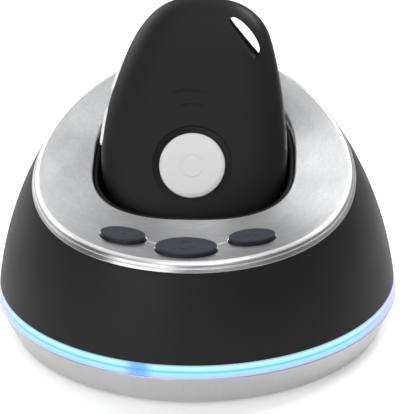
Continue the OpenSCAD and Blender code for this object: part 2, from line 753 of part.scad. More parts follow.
// Cavity of the pendant, with the wall round the lanyard slot left standing
module cavity() difference() {
    pebble(pendant_wall);
    lanyard_slot(slot_wall);
}
pendant_screw_places = [
    [-13.6, big_r - 9.6], [13.6, big_r - 9.6], [-11.6, big_r + 28], [12.2, big_r + 16.5]
];
pendant_post_r = 2;
pendant_screw_r = 0.7;
pendant_screw_head_r = 1.5;
pendant_screw_head_t = 1;
pendant_screw_low_y = -2.6;
contact_r = 1.3;
contact_top_z = 2.6;
// Depth of the screws' heads in the rear shell
pendant_head_y = half_t - 3.4;
seal_w = 0.8;
seal_half_t = 0.5;
// Reach of the shoulder that the board rests on past its screw post
shoulder_w = 0.8;
// The rebate in the seam that holds the seal, with its sides moved in
module seal_space(gap = 0) difference() {
    intersection() {
        pebble(pendant_wall - seal_w + gap);
        block([-big_r, gap - seal_half_t, -over], [big_r, seal_half_t - gap, 3 * big_r]);
    }
    pebble(pendant_wall);
    lanyard_slot(slot_wall + gap);
}
// One half of the pendant's shell with its screw posts, whose shoulders carry the board
module half_shell(low, high) difference() {
    intersection() {
        union() {
            difference() {
                pebble();
                cavity();
            }
            intersection() {
                pebble(pendant_wall / 2);
                for (p = pendant_screw_places) {
                    y_post(p[0], p[1], pendant_post_r, -pendant_t, pendant_t);
                    y_post(p[0], p[1], pendant_post_r + shoulder_w, -pendant_t, board_y);
                }
            }
        }
        block([-pendant_w, low, -over], [pendant_w, high, 2 * pendant_w]);
    }
    seal_space();
    lanyard_slot();
    for (i = [0:1]) at_key(i) key_bar(slide_gap, -2 * over, key_depth);
    for (side = [-1, 1]) translate([side * contact_x, 0, 0]) post(contact_r, -over, contact_top_z + 0.4);
    for (p = pendant_screw_places)
        y_post(p[0], p[1], pendant_screw_r + screw_gap, pendant_screw_low_y - 0.4, pendant_t);
}

// Emergency button and its surround
sos_recess_r = 9.3;
sos_recess_y = face_y + 0.45;
sos_recess_low_y = face_y + 0.9;
sos_proud = 0.1;
sos_flange_r = sos_r + 0.85;
sos_flange_y = face_y + pendant_wall + 0.6;
sos_flange_t = 0.7;
membrane_y = sos_flange_y + sos_flange_t + sos_travel + seat_gap;
membrane_t = 0.4;
board_y = -2.4;
pendant_board_t = 1;
board_rear_y = board_y + pendant_board_t;

// Front shell, cut for the emergency button and its shallow surround
module pendant_front() color([0.18, 0.18, 0.19]) cradle() difference() {
    half_shell(-pendant_t, 0);
    y_post(0, sos_z, sos_r + slide_gap, -pendant_t, board_y);
    y_post(0, sos_z, sos_recess_r, -pendant_t, sos_recess_y);
    translate([0, sos_recess_y, sos_z]) rotate([-90, 0, 0]) cylinder(r1 = sos_recess_r, r2 = sos_r + slide_gap,
        h = sos_recess_low_y - sos_recess_y, $fn = 48);
}

// Rear shell with its screws' holes
module pendant_rear() color([0.16, 0.16, 0.17]) cradle() difference() {
    half_shell(0, pendant_t);
    for (p = pendant_screw_places) y_post(p[0], p[1], pendant_screw_head_r + seat_gap, pendant_head_y, pendant_t);
}

// Rubber seal in the seam
module pendant_seal() color([0.05, 0.05, 0.05]) cradle() difference() {
    seal_space(screw_gap);
    for (i = [0:1]) at_key(i) key_bar(2 * slide_gap, -2 * over, key_depth);
    for (side = [-1, 1]) translate([side * contact_x, 0, 0])
        post(contact_r + screw_gap, -over, contact_top_z + 0.4);
}

// White emergency button with the flange that holds it in
module sos_button() color([0.93, 0.93, 0.94]) cradle() {
    y_post(0, sos_z, sos_r, face_y - sos_proud, sos_flange_y + sos_flange_t);
    y_post(0, sos_z, sos_flange_r, sos_flange_y, sos_flange_y + sos_flange_t);
}

// Silicone membrane behind the emergency button
module sos_membrane() color([0.6, 0.6, 0.62]) cradle() y_post(0, sos_z, sos_flange_r, membrane_y,
    membrane_y + membrane_t);

// Dome switch on the pendant's board
sos_switch_r = 3.2;
sos_switch_t = 0.8;
module sos_switch() color([0.75, 0.75, 0.76]) cradle() {
    y_post(0, sos_z, sos_switch_r, board_y - sos_switch_t, board_y);
    y_post(0, sos_z, sos_switch_r / 2, membrane_y + membrane_t, board_y - sos_switch_t);
}

// A side key: its outer face follows the pendant's edge, and its flange holds it in
module side_key(i) color([0.92, 0.92, 0.93]) cradle() {
    intersection() {
        pebble(-key_proud);
        at_key(i) key_bar(0, -2 * over, key_depth);
    }
    intersection() {
        pebble(pendant_wall + slide_gap);
        at_key(i) key_bar(key_flange, 0, key_depth);
    }
}
module call_key_upper() side_key(0);
module call_key_lower() side_key(1);

// Two switches behind the side keys, on the board's edge
switch_x = key_depth + key_travel + seat_gap;
side_switch_w = 4;
side_switch_l = 2.3;
side_switch_h = 1.8;
module side_switches() color([0.75, 0.75, 0.76]) cradle() for (i = [0:1]) at_key(i)
    translate([switch_x, board_rear_y - key_y, -side_switch_w / 2])
        cube([side_switch_l, side_switch_h, side_switch_w]);

// Pendant's circuit board
board_inset = 3.4;
module pendant_board() color([0.08, 0.3, 0.16]) cradle() difference() {
    translate([0, board_rear_y, 0]) rotate([90, 0, 0]) linear_extrude(pendant_board_t)
        hull() for (p = pucks) translate([p[0], p[1]]) circle(r = p[2] - board_inset, $fn = 48);
    lanyard_slot(slot_wall + slide_gap);
    for (i = [0:1]) at_key(i)
        block([-over, -pendant_t, -key_len / 2 - over], [switch_x, pendant_t, key_len / 2 + over]);
    for (p = pendant_screw_places) y_post(p[0], p[1], pendant_post_r + seat_gap, -pendant_t, pendant_t);
}

// A box on the pendant's board: width, thickness and length, its middle at x, its lower end at z, its front at y
module board_box(x, y, z, size) translate([x - size[0] / 2, y, z]) cube(size);

// Card holder on the rear of the board, with a screening can above it
card_t = 1.4;
card_w = 15;
card_len = 12.5;
card_z = big_r - 10;
shield_w = 18;
shield_len = 11;
module sim_holder() color([0.8, 0.8, 0.78]) cradle()
    board_box(0, board_rear_y, card_z, [card_w, card_t, card_len]);
module pendant_shield() color([0.78, 0.78, 0.79]) cradle()
    board_box(0, board_rear_y, card_z + card_len + over, [shield_w, card_t, shield_len]);

// Flat lithium cell in the rear half
battery_w = 22;
battery_t = 4.4;
battery_len = 21;
battery_gap = 0.2;
battery_z = big_r - 6.6;
module pendant_battery() color([0.62, 0.64, 0.66]) cradle()
    board_box(0, board_rear_y + card_t + battery_gap, battery_z, [battery_w, battery_t, battery_len]);

// Ceramic patch antenna at the top of the board, with its silvered face
patch_w = 12;
patch_t = 2;
patch_x = -2.3;
patch_z = big_r + 18.4;
patch_edge = 1.5;
patch_face_t = 0.2;
module gps_antenna() color([0.82, 0.76, 0.62]) cradle() {
    board_box(patch_x, board_y - patch_t, patch_z, [patch_w, patch_t, patch_w]);
    board_box(patch_x, board_y - patch_t - patch_face_t, patch_z + patch_edge,
        [patch_w - 2 * patch_edge, patch_face_t, patch_w - 2 * patch_edge]);
}

// Flexible cellular antenna at the board's lower end
flex_w = 17;
flex_t = 0.4;
flex_len = 4;
module cell_antenna() color([0.75, 0.5, 0.2]) cradle()
    board_box(0, board_rear_y, big_r - 15.6, [flex_w, flex_t, flex_len]);

// Loudspeaker behind the front face, microphone, and the coin motor that vibrates
buzzer_r = 5.4;
buzzer_t = 3.2;
buzzer_x = -1;
buzzer_z = patch_z - buzzer_r - 1.2;
motor_r = 4;
motor_t = 2.8;
motor_x = -3.4;
motor_z = patch_z + 3;
pickup_r = 1.5;
pickup_t = 1.2;
pickup_x = 9.5;
pickup_z = sos_z - 9.6;
module pendant_speaker() color([0.3, 0.3, 0.32]) cradle()
    y_post(buzzer_x, buzzer_z, buzzer_r, board_y - buzzer_t, board_y);
module pendant_microphone() color([0.8, 0.75, 0.5]) cradle()
    y_post(pickup_x, pickup_z, pickup_r, board_y - pickup_t, board_y);
module vibration_motor() color([0.72, 0.72, 0.74]) cradle()
    y_post(motor_x, motor_z, motor_r, board_rear_y, board_rear_y + motor_t);

// Charging pads set flush in the pendant's bottom end
module contact_pads() color([0.85, 0.7, 0.35]) cradle() for (side = [-1, 1]) translate([side * contact_x, 0, 0])
    post(contact_r, contact_z, contact_top_z);

// Four screws from the rear shell into the front shell
module pendant_screws() color([0.6, 0.6, 0.62]) cradle() for (p = pendant_screw_places) {
    y_post(p[0], p[1], pendant_screw_head_r, pendant_head_y, pendant_head_y + pendant_screw_head_t);
    y_post(p[0], p[1], pendant_screw_r, pendant_screw_low_y, pendant_head_y);
}

base_ring();
bottom_cover();
rubber_feet();
ballast_plate();
light_guide();
led_board();
ring_leds();
body_shell();
top_plate();
pocket_liner();
rest_pads();
charge_block();
charge_barrels();
charge_pin_left();
charge_pin_right();
button_left();
button_center();
button_right();
button_trim();
button_mat();
button_board();
button_switches();
main_board();
main_chips();
board_shield();
station_microphone();
power_inlet();
inlet_pin();
inlet_nut();
speaker_frame();
speaker_cone();
speaker_magnet();
bottom_screws();
board_screws();
plate_screws();
keypad_screws();
pendant_front();
pendant_rear();
pendant_seal();
sos_button();
sos_membrane();
sos_switch();
call_key_upper();
call_key_lower();
side_switches();
pendant_board();
pendant_shield();
pendant_battery();
gps_antenna();
cell_antenna();
pendant_speaker();
pendant_microphone();
vibration_motor();
sim_holder();
contact_pads();
pendant_screws();
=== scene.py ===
"""Personal alarm pendant in its charging and call station: the looks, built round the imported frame.

Sizes are in millimetres, as in the model's source, and MM turns them into metres.
"""
import json
import math

import bmesh
import bpy
import numpy as np
from mathutils import Matrix, Vector
from mathutils.bvhtree import BVHTree
from mathutils.geometry import delaunay_2d_cdt
from mathutils.interpolate import poly_3d_calc

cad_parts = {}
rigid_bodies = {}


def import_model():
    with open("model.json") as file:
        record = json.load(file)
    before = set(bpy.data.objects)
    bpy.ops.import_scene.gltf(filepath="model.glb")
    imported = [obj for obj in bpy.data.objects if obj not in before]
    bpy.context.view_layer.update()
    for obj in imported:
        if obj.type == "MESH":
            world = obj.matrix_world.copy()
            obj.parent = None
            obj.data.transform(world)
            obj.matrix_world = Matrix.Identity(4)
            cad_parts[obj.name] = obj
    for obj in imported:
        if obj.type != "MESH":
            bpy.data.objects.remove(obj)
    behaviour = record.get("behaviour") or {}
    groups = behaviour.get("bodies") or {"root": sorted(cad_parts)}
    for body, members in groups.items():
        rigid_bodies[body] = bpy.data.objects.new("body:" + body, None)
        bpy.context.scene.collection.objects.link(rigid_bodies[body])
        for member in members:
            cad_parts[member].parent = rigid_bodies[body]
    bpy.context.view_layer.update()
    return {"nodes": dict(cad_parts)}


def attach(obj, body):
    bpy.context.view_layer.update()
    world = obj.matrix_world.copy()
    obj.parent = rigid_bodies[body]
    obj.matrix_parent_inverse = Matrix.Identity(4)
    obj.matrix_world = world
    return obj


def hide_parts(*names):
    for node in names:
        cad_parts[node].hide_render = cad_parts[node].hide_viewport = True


for thing in list(bpy.data.objects):
    bpy.data.objects.remove(thing)
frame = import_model()
MM = 0.001

# Station body and its dished top
BODY_R = 48.3
BODY_Z = 11.5
BODY_WALL = 2.2
ARC_R = 87.8
ARC_CX = BODY_R - math.sqrt(ARC_R ** 2 - 12.05 ** 2)
ARC_CZ = BODY_Z - 12.05
TOP_Z = 45.8
TOP_SLOPE = math.radians(24.9)
DISH_R = 137.5
DISH_Y = -DISH_R * math.sin(TOP_SLOPE)
DISH_Z = TOP_Z + DISH_R * math.cos(TOP_SLOPE)
PLATE_T = 2.1
# Foot and light ring
FOOT_R = 48.9
FOOT_LOW_R = 45.6
FOOT_LOW_Z = 0.5
FOOT_TOP_Z = 8.45
GUIDE_IN_R = 45.7
LEDGE_IN_R = 42.5
BOARD_SEAT_Z = 8.0
LEDGE_Z = 6.4
STEP_Z = 9.8
# Pocket and pendant
LEAN = math.radians(34)
CRADLE_Y = -17.8
CRADLE_Z = 25.1
POCKET_HALF_W = 23.6
POCKET_FRONT = 12.3
POCKET_REAR = 11.9
POCKET_MID = -0.4
POCKET_WALL = 1.2
FLOOR_GAP = 0.3
FLOOR_T = 1.3
FLANGE_T = 1.5
WINDOW = (6.4, 2.4)
HALF_T = 8
PENDANT_WALL = 1.6
PUCKS = ((0, 22, 22), (-3.6, 30.2, 17.5), (0.8, 43.8, 17.4), (-0.8, 47.2, 14.1), (5.1, 47.6, 13.1))
PEBBLE_POWER = 3
SOS_Z = 19.1
SOS_R = 7.65
SLOT_MID = (11.37, 50.64)
SLOT_REACH = (5.4, 1.9)
SLOT_TURN = math.radians(40)
SLOT_TILT = math.radians(15)
SLOT_MOUTH_Y = -6.5
KEYS = (("upper", -18.05, 42, math.radians(16.5)), ("lower", -21.45, 29.4, math.radians(8.5)))
KEY_LEN = 9.2
KEY_W = 3.2
KEY_Y = -1.4
SCREWS = ((-13.6, 12.4), (13.6, 12.4), (-11.6, 50), (12.2, 38.5))
SCREW_HEAD_Y = 4.6
# Call buttons: name, middle from left to right and from front to rear, half length, half width and turn
BUTTONS = (
    ("left", -14.5, -32.3, 5.3, 2.4, -12),
    ("center", 0, -36.7, 6.9, 3.25, 0),
    ("right", 14.5, -32.3, 5.3, 2.4, 12),
)
BUTTON_PROUD = 1.25
TRIM_CENTRE_Y = -18.3
TRIM_R = 17.6
TRIM_W = 0.35
# Rear of the station
SPEAKER_Z = 39
GRILLE_PITCH = 4.2
GRILLE_R = 1.1
INLET_Z = 18
INLET_R = 4.2
INLET_FLANGE_R = 5.2
INLET_BORE_R = 2.75
# Left and right place of the light ring's dimmer, bluer spot
DIM_SPOT_X = -10.4
# Distance of a supporting ring from the end of a fillet
SUPPORT = 0.06
# Fillet of the metal top's rim, and the fine groove under it in pairs of inset and depth
RIM_EDGE = 0.7
RIM_GROOVE = ((0.02, 1.0), (0.07, 1.08), (0.07, 1.2), (0.02, 1.28))
# The metal top's low outer fillet, and how far its edges reach in on the underside
LOW_EDGE = 0.2
UNDER_REACH = 0.6
# Distance between the points laid on the dish, and how near they come to the rim and to the holes
NET_STEP = 2.2
NET_MARGINS = (0.9, 0.7)
# Depths beyond the pendant's two faces, for cutters
PAST_FACE = 9
# The lanyard slot's cutter: growth, ledge and depth of each ring
SLOT_RINGS = (
    (1.2, 0.9, -PAST_FACE), (0.5, 0.85, -8.1), (0.2, 0.75, -7.6), (0.06, 0.7, -7.15), (0, 0.5, -6.5), (0, 0.3, -5.9),
    (0, 0.2, -5.2), (0, 0.2, 5.0), (0.06, 0.4, 5.8), (0.2, 0.7, 6.4), (0.55, 0.8, 7.1), (1.2, 0.9, PAST_FACE),
)
# The side keys' holes: width, growth and depth of each ring
KEY_HOLE_RINGS = (
    (KEY_W, 0.6, -2.4), (KEY_W, 0.45, -0.3), (KEY_W, 0.3, 0.1), (KEY_W, 0.15, 0.5), (KEY_W, 0.15, 3.0),
)


# Frames

def placed(origin, x_axis, y_axis, z_axis):
    """A matrix in millimetres from an origin and three axes."""
    columns = [Vector(x_axis), Vector(y_axis), Vector(z_axis)]
    matrix = Matrix(columns).transposed().to_4x4()
    matrix.translation = Vector(origin)
    return matrix


CRADLE = placed(
    (0, CRADLE_Y, CRADLE_Z), (1, 0, 0),
    (0, math.cos(LEAN), -math.sin(LEAN)), (0, math.sin(LEAN), math.cos(LEAN)),
)


def dish_height(y, depth=0.0):
    """Height of the dished top at y, or of the surface that lies depth below it."""
    return DISH_Z - np.sqrt((DISH_R + depth) ** 2 - (y - DISH_Y) ** 2)


def dome_radius(z, inset=0.0):
    """Radius of the dome's side at a height."""
    return ARC_CX + np.sqrt((ARC_R - inset) ** 2 - (z - ARC_CZ) ** 2)


def on_dish(x, y, turn=0.0):
    """The frame of a place on the dished top, its Z axis square to the surface."""
    slope = math.asin((y - DISH_Y) / DISH_R)
    flat = placed(
        (x, y, dish_height(y)), (1, 0, 0),
        (0, math.cos(slope), math.sin(slope)), (0, -math.sin(slope), math.cos(slope)),
    )
    return flat @ Matrix.Rotation(math.radians(turn), 4, "Z")


def on_rear(z):
    """The frame of a place on the rear of the dome, its Z axis pointing out."""
    rise = math.asin((z - ARC_CZ) / ARC_R)
    return placed(
        (0, dome_radius(z), z), (1, 0, 0),
        (0, math.sin(rise), -math.cos(rise)), (0, math.cos(rise), math.sin(rise)),
    )


def moved(points, matrix):
    """Points carried from a local frame into the model's."""
    points = np.asarray(points, float)
    turn = np.array(matrix.to_3x3())
    return points @ turn.T + np.array(matrix.translation)


def turned_about_depth(points):
    """Points of a lathe along Z laid along the pendant's thickness: Z becomes Y."""
    points = np.asarray(points, float)
    return np.stack([points[..., 0], points[..., 2], -points[..., 1]], -1)


# Outlines

def angles(count):
    return np.arange(count) * 2 * math.pi / count


def rounded(corners, closed=True, steps=5):
    """A profile with filleted corners, each given as (r, z, radius).

    Each fillet gets a supporting point past its ends.
    """
    points = []
    count = len(corners)
    for i, (x, z, radius) in enumerate(corners):
        here = np.array((x, z), float)
        if not closed and i in (0, count - 1):
            points.append(here)
            continue
        before = np.array(corners[i - 1][:2], float) - here
        after = np.array(corners[(i + 1) % count][:2], float) - here
        before_len, after_len = np.linalg.norm(before), np.linalg.norm(after)
        before, after = before / before_len, after / after_len
        half = math.acos(max(-1, min(1, before @ after))) / 2
        if math.pi / 2 - half < 0.02:
            points.append(here)
            continue
        reach = min(radius / math.tan(half), 0.45 * before_len, 0.45 * after_len)
        radius = reach * math.tan(half)
        middle = (before + after) / np.linalg.norm(before + after)
        centre = here + middle * math.hypot(radius, reach)
        start, end = here + before * reach - centre, here + after * reach - centre
        sweep = math.atan2(start[0] * end[1] - start[1] * end[0], start @ end)
        if before_len > 3 * (reach + SUPPORT):
            points.append(here + before * (reach + SUPPORT))
        for k in range(steps + 1):
            a = sweep * k / steps
            turn = np.array([[math.cos(a), -math.sin(a)], [math.sin(a), math.cos(a)]])
            points.append(centre + turn @ start)
        if after_len > 3 * (reach + SUPPORT):
            points.append(here + after * (reach + SUPPORT))
    return np.array(points)


def lathe_rings(profile, count=160):
    """Rings of points round the Z axis, one for each point of a profile of radius and height."""
    turn = angles(count)
    radius, height = profile[:, 0], profile[:, 1]
    ring = np.stack([np.cos(turn), np.sin(turn)], -1)
    rings = radius[:, None, None] * ring[None]
    heights = np.broadcast_to(height[:, None, None], rings.shape[:2] + (1,))
    return np.concatenate([rings, heights], -1)


def bent(value, power):
    return np.sign(value) * np.abs(value) ** (2 / power)


def pocket_outline(grow, count=200):
    """The pocket's outline in the pendant's frame, grown outwards."""
    turn = angles(count)
    rear = np.sin(turn) > 0
    power = np.where(rear, 3.0, 2.5)
    reach = np.where(rear, POCKET_REAR, POCKET_FRONT) + grow
    x = (POCKET_HALF_W + grow) * bent(np.cos(turn), power)
    y = POCKET_MID + reach * bent(np.sin(turn), power)
    return np.stack([x, y], -1)


def pocket_at_depth(grow, depth, count=200):
    """Where the pocket's outline, drawn along the pendant's length, meets the surface depth below the dish."""
    flat = pocket_outline(grow, count)
    start = moved(np.concatenate([flat, np.zeros((count, 1))], -1), CRADLE)
    along = np.array(CRADLE.to_3x3().col[2])
    low, high = np.zeros(count), np.full(count, 60.0)
    for _ in range(40):
        middle = (low + high) / 2
        point = start + middle[:, None] * along
        under = point[:, 2] < dish_height(point[:, 1], depth)
        low, high = np.where(under, middle, low), np.where(under, high, middle)
    return start + low[:, None] * along


def ellipse_ring(a, b, grow, height, count=96):
    """An ellipse grown along its normals, at a height."""
    turn = angles(count)
    normal = np.stack([b * np.cos(turn), a * np.sin(turn)], -1)
    normal /= np.linalg.norm(normal, axis=1)[:, None]
    flat = np.stack([a * np.cos(turn), b * np.sin(turn)], -1) + grow * normal
    return np.concatenate([flat, np.full((count, 1), height)], -1)


def pebble_ring(scale, inset, y, count=208, blur=math.radians(4.5)):
    """The pendant's outline, its pucks' radii moved in and scaled, at a depth through its thickness.

    The outline is the pucks' common hull, softened by blurring how far it reaches in each direction.
    """
    turn = angles(count)
    normal = np.stack([np.cos(turn), np.sin(turn)], -1)
    tangent = np.stack([-np.sin(turn), np.cos(turn)], -1)
    middle = np.array((0, 32.0))
    reach = np.full(count, -1e9)
    for x, z, r in PUCKS:
        reach = np.maximum(reach, normal @ (np.array((x, z)) - middle) + (r - inset) * scale)
    waves = np.fft.rfft(reach)
    order = np.arange(len(waves))
    waves *= np.exp(-(order * blur) ** 2 / 2)
    reach, slope = np.fft.irfft(waves, count), np.fft.irfft(1j * order * waves, count)
    flat = middle + reach[:, None] * normal + slope[:, None] * tangent
    return np.stack([flat[:, 0], np.full(count, y), flat[:, 1]], -1)


def pebble_rings(inset, steps=34):
    """Rings from the seam at y = 0 to the middle of the pendant's face, evenly spaced along the surface."""
    fine = np.linspace(0, math.pi / 2, 2000)
    scale, depth = np.cos(fine) ** (2 / PEBBLE_POWER), np.sin(fine) ** (2 / PEBBLE_POWER)
    run = np.concatenate([[0], np.cumsum(np.hypot(np.diff(scale) * 18, np.diff(depth) * HALF_T))])
    picks = np.interp(np.linspace(0, run[-1], steps + 1), run, fine)[:-1]
    for a in picks:
        scale, depth = math.cos(a) ** (2 / PEBBLE_POWER), math.sin(a) ** (2 / PEBBLE_POWER)
        yield scale, (HALF_T - inset) * depth


# Meshes

def skin(rings, wrap=False, first=None, last=None):
    """Vertices and faces of rings joined one to the next. A cap closes the first or last ring to a point."""
    rings = np.asarray(rings, float)
    count, size = rings.shape[:2]
    verts = rings.reshape(-1, 3)
    faces = []
    for r in range(count if wrap else count - 1):
        here, there = r * size, (r + 1) % count * size
        faces += [(here + k, here + (k + 1) % size, there + (k + 1) % size, there + k) for k in range(size)]
    for point, ring in ((first, 0), (last, count - 1)):
        if point is not None:
            verts = np.vstack([verts, point])
            base = ring * size
            faces += [(base + k, base + (k + 1) % size, len(verts) - 1) for k in range(size)]
    return verts, faces


def joined(*parts):
    """Several solids as one list of vertices and faces."""
    verts, faces = [], []
    for part_verts, part_faces in parts:
        base = sum(len(v) for v in verts)
        faces += [tuple(base + i for i in face) for face in part_faces]
        verts.append(np.asarray(part_verts, float))
    return np.vstack(verts), faces


def solid(name, shape):
    """An object with outward normals and smooth faces from vertices in millimetres."""
    verts, faces = shape
    mesh = bpy.data.meshes.new(name)
    mesh.from_pydata([tuple(v) for v in np.asarray(verts) * MM], [], faces)
    work = bmesh.new()
    work.from_mesh(mesh)
    bmesh.ops.recalc_face_normals(work, faces=work.faces)
    work.to_mesh(mesh)
    work.free()
    mesh.shade_smooth()
    mesh.update()
    thing = bpy.data.objects.new(name, mesh)
    bpy.context.scene.collection.objects.link(thing)
    return thing


def lathe(corners, count=160, matrix=None, closed=True, steps=5, upright=True):
    """A turned solid. An open profile starts and ends on the axis."""
    profile = rounded(corners, closed, steps)
    if closed:
        verts, faces = skin(lathe_rings(profile, count), wrap=True)
    else:
        ends = [(0, 0, profile[0][1]), (0, 0, profile[-1][1])]
        verts, faces = skin(lathe_rings(profile[1:-1], count), first=ends[0], last=ends[1])
    if not upright:
        verts = turned_about_depth(verts)
    return (moved(verts, matrix) if matrix is not None else verts), faces


def carve(body, cutters):
    """Cuts solids out of a body and keeps every surface's own smooth normals."""
    sources, tags = {}, []
    for thing, sign in [(body, 1)] + [(cutter, -1) for cutter in cutters]:
        mesh = thing.data
        tag = bpy.data.materials.new("tag_" + thing.name)
        tags.append(tag)
        mesh.materials.clear()
        mesh.materials.append(tag)
        verts = [v.co.copy() for v in mesh.vertices]
        faces = [tuple(p.vertices) for p in mesh.polygons]
        normals = [v.normal.copy() * sign for v in mesh.vertices]
        sources[tag.name] = (BVHTree.FromPolygons(verts, faces), verts, faces, normals)
    for thing in cutters:
        step = body.modifiers.new(thing.name, "BOOLEAN")
        step.operation = "DIFFERENCE"
        step.object = thing
        step.solver = "EXACT"
        step.material_mode = "TRANSFER"
    graph = bpy.context.evaluated_depsgraph_get()
    result = bpy.data.meshes.new_from_object(body.evaluated_get(graph), depsgraph=graph)
    body.modifiers.clear()
    old = body.data
    body.data = result
    result.name = old.name
    bpy.data.meshes.remove(old)
    names = [m.name for m in result.materials]
    normals = [None] * len(result.loops)
    for face in result.polygons:
        tree, verts, faces, source = sources[names[face.material_index]]
        for k in face.loop_indices:
            place = result.vertices[result.loops[k].vertex_index].co
            spot, _, index, _ = tree.find_nearest(place)
            corners = faces[index]
            weights = poly_3d_calc([verts[i] for i in corners], spot)
            normal = Vector((0, 0, 0))
            for weight, i in zip(weights, corners):
                normal += weight * source[i]
            normals[k] = normal.normalized() if normal.length > 1e-9 else face.normal.copy()
            if normals[k].dot(face.normal) < 0.1:
                normals[k] = face.normal.copy()
    result.materials.clear()
    for face in result.polygons:
        face.material_index = 0
    result.normals_split_custom_set(normals)
    for thing in cutters:
        bpy.data.objects.remove(thing)
    for tag in tags:
        bpy.data.materials.remove(tag)


def dress(thing, body, slot, *nodes):
    """Gives a piece its body, its slot with the slot's material, and the nodes that it stands for."""
    thing.data.materials.clear()
    thing.data.materials.append(MATERIALS[slot])
    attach(thing, body)
    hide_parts(*nodes)


# Materials

class Nodes:
    """A material with a Principled shader and short ways to add nodes."""

    def __init__(self, name):
        self.material = bpy.data.materials.new(name)
        self.material.use_nodes = True
        self.tree = self.material.node_tree
        self.shader = self.tree.nodes["Principled BSDF"]

    def add(self, kind, **values):
        """A new node. Lower-case names are its own settings, the others its inputs."""
        node = self.tree.nodes.new(kind)
        for key in [key for key in values if key.islower()]:
            setattr(node, key, values.pop(key))
        return self.fill(node, **values)

    def fill(self, node, **values):
        """Sets a node's inputs, or links them where the value is another node's output."""
        for key, value in values.items():
            socket = node.inputs[key.replace("_", " ")]
            if isinstance(value, bpy.types.NodeSocket):
                self.tree.links.new(value, socket)
            else:
                socket.default_value = value
        return node

    def done(self, **values):
        """Fills the shader's own inputs and gives the material."""
        self.fill(self.shader, **values)
        return self.material

    def place(self, scale=(1, 1, 1)):
        """The surface's own coordinates, stretched."""
        coords = self.add("ShaderNodeTexCoord").outputs["Object"]
        return self.add("ShaderNodeMapping", Scale=scale, Vector=coords).outputs["Vector"]

    def axes(self):
        """The surface's own X, Y and Z."""
        coords = self.add("ShaderNodeTexCoord").outputs["Object"]
        split = self.add("ShaderNodeSeparateXYZ", Vector=coords)
        return [split.outputs[axis] for axis in "XYZ"]

    def maths(self, kind, first, second=0):
        node = self.add("ShaderNodeMath", operation=kind)
        for socket, value in zip(node.inputs, (first, second)):
            if isinstance(value, (int, float)):
                socket.default_value = value
            else:
                self.tree.links.new(value, socket)
        return node.outputs[0]

    def length(self, first, second):
        squares = [self.maths("MULTIPLY", side, side) for side in (first, second)]
        return self.maths("SQRT", self.maths("ADD", *squares))

    def around_axis(self, squeeze=0.004):
        """Radius, height and a squeezed angle round the station's axis, for strokes that run round it."""
        x, y, z = self.axes()
        turn = self.maths("MULTIPLY", self.maths("ARCTAN2", y, x), squeeze)
        return self.add("ShaderNodeCombineXYZ", X=self.length(x, y), Y=turn, Z=z).outputs["Vector"]

    def from_arc(self, across, height, radius, ring=False):
        """Millimetres inwards from an arc about the middle given in Y and Z, or in radius and Z for a ring."""
        x, y, z = self.axes()
        run = self.maths("SUBTRACT", self.length(x, y) if ring else y, across * MM)
        away = self.length(run, self.maths("SUBTRACT", z, height * MM))
        return self.maths("MULTIPLY", self.maths("SUBTRACT", radius * MM, away), 1 / MM)

    def noise(self, vector, scale, detail=3.0, roughness=0.5):
        values = {"Scale": scale, "Detail": detail, "Roughness": roughness, "Vector": vector}
        return self.add("ShaderNodeTexNoise", **values).outputs["Fac"]

    def weighted(self, first, second, share):
        """Two noises in one, the first one's share given."""
        parts = self.maths("MULTIPLY", first, share), self.maths("MULTIPLY", second, round(1 - share, 6))
        return self.maths("ADD", *parts)

    def ramp(self, value, stops):
        """A colour ramp from pairs of position and colour or grey."""
        node = self.add("ShaderNodeValToRGB")
        elements = node.color_ramp.elements
        while len(elements) < len(stops):
            elements.new(0.5)
        for element, (position, colour) in zip(elements, stops):
            element.position = position
            element.color = (colour, colour, colour, 1) if isinstance(colour, (int, float)) else (*colour, 1)
        self.tree.links.new(value, node.inputs["Fac"])
        return node.outputs["Color"]

    def between(self, value, low, high):
        """A colour or grey that follows a noise from low to high."""
        return self.ramp(value, ((0.3, low), (0.7, high)))

    def mixed(self, factor, first, second):
        """One colour where the factor is 0, another where it is 1."""
        first, second = [(*v, 1) if isinstance(v, tuple) else v for v in (first, second)]
        return self.add("ShaderNodeMix", data_type="RGBA", Factor=factor, A=first, B=second).outputs["Result"]

    def bump(self, height, distance):
        values = {"Distance": distance * MM, "Strength": 1.0, "Height": height}
        return self.add("ShaderNodeBump", **values).outputs["Normal"]

    def round_tangent(self):
        """The direction round the station's axis, for brushed metal."""
        return self.add("ShaderNodeTangent", direction_type="RADIAL", axis="Z").outputs["Tangent"]


def shades(colour, spread):
    """A darker and a lighter version of a colour."""
    return [c * (1 - spread) for c in colour], [min(1, c * (1 + spread)) for c in colour]


def plastic(name, colour, rough, spread=0.12, grain=2600, depth=0.01, specular=0.5):
    """Moulded plastic: fine grain in the bump, and a little variation of colour and gloss."""
    n = Nodes(name)
    fine, broad = n.noise(n.place(), grain, 2.0), n.noise(n.place(), 55, 4.0)
    return n.done(
        Base_Color=n.between(broad, *shades(colour, spread)),
        Roughness=n.between(broad, rough - 0.04, rough + 0.05),
        Normal=n.bump(fine, depth), Specular_IOR_Level=specular,
    )


def call_button_plastic():
    """Blue-black moulded cap: a matt top, and painted shade on its sides, near black close to the metal top."""
    n = Nodes("button_blue")
    fine, broad = n.noise(n.place(), 2400, 2.0), n.noise(n.place(), 70, 4.0)
    top = n.between(broad, (0.028, 0.030, 0.043), (0.032, 0.034, 0.048))
    height = n.from_arc(DISH_Y, DISH_Z, DISH_R)
    # Painted shade: the cap's sides are near black up to 0.7 mm above the metal top and reach the cap's colour by
    # 0.92 mm.
    level = n.ramp(height, ((0.70, 0.0), (0.84, 0.4), (0.92, 1.0), (0.97, 1.0)))
    return n.done(
        Base_Color=n.mixed(level, (0.006, 0.006, 0.008), top), Roughness=n.between(broad, 0.42, 0.52),
        Normal=n.bump(fine, 0.012), Specular_IOR_Level=0.33,
    )


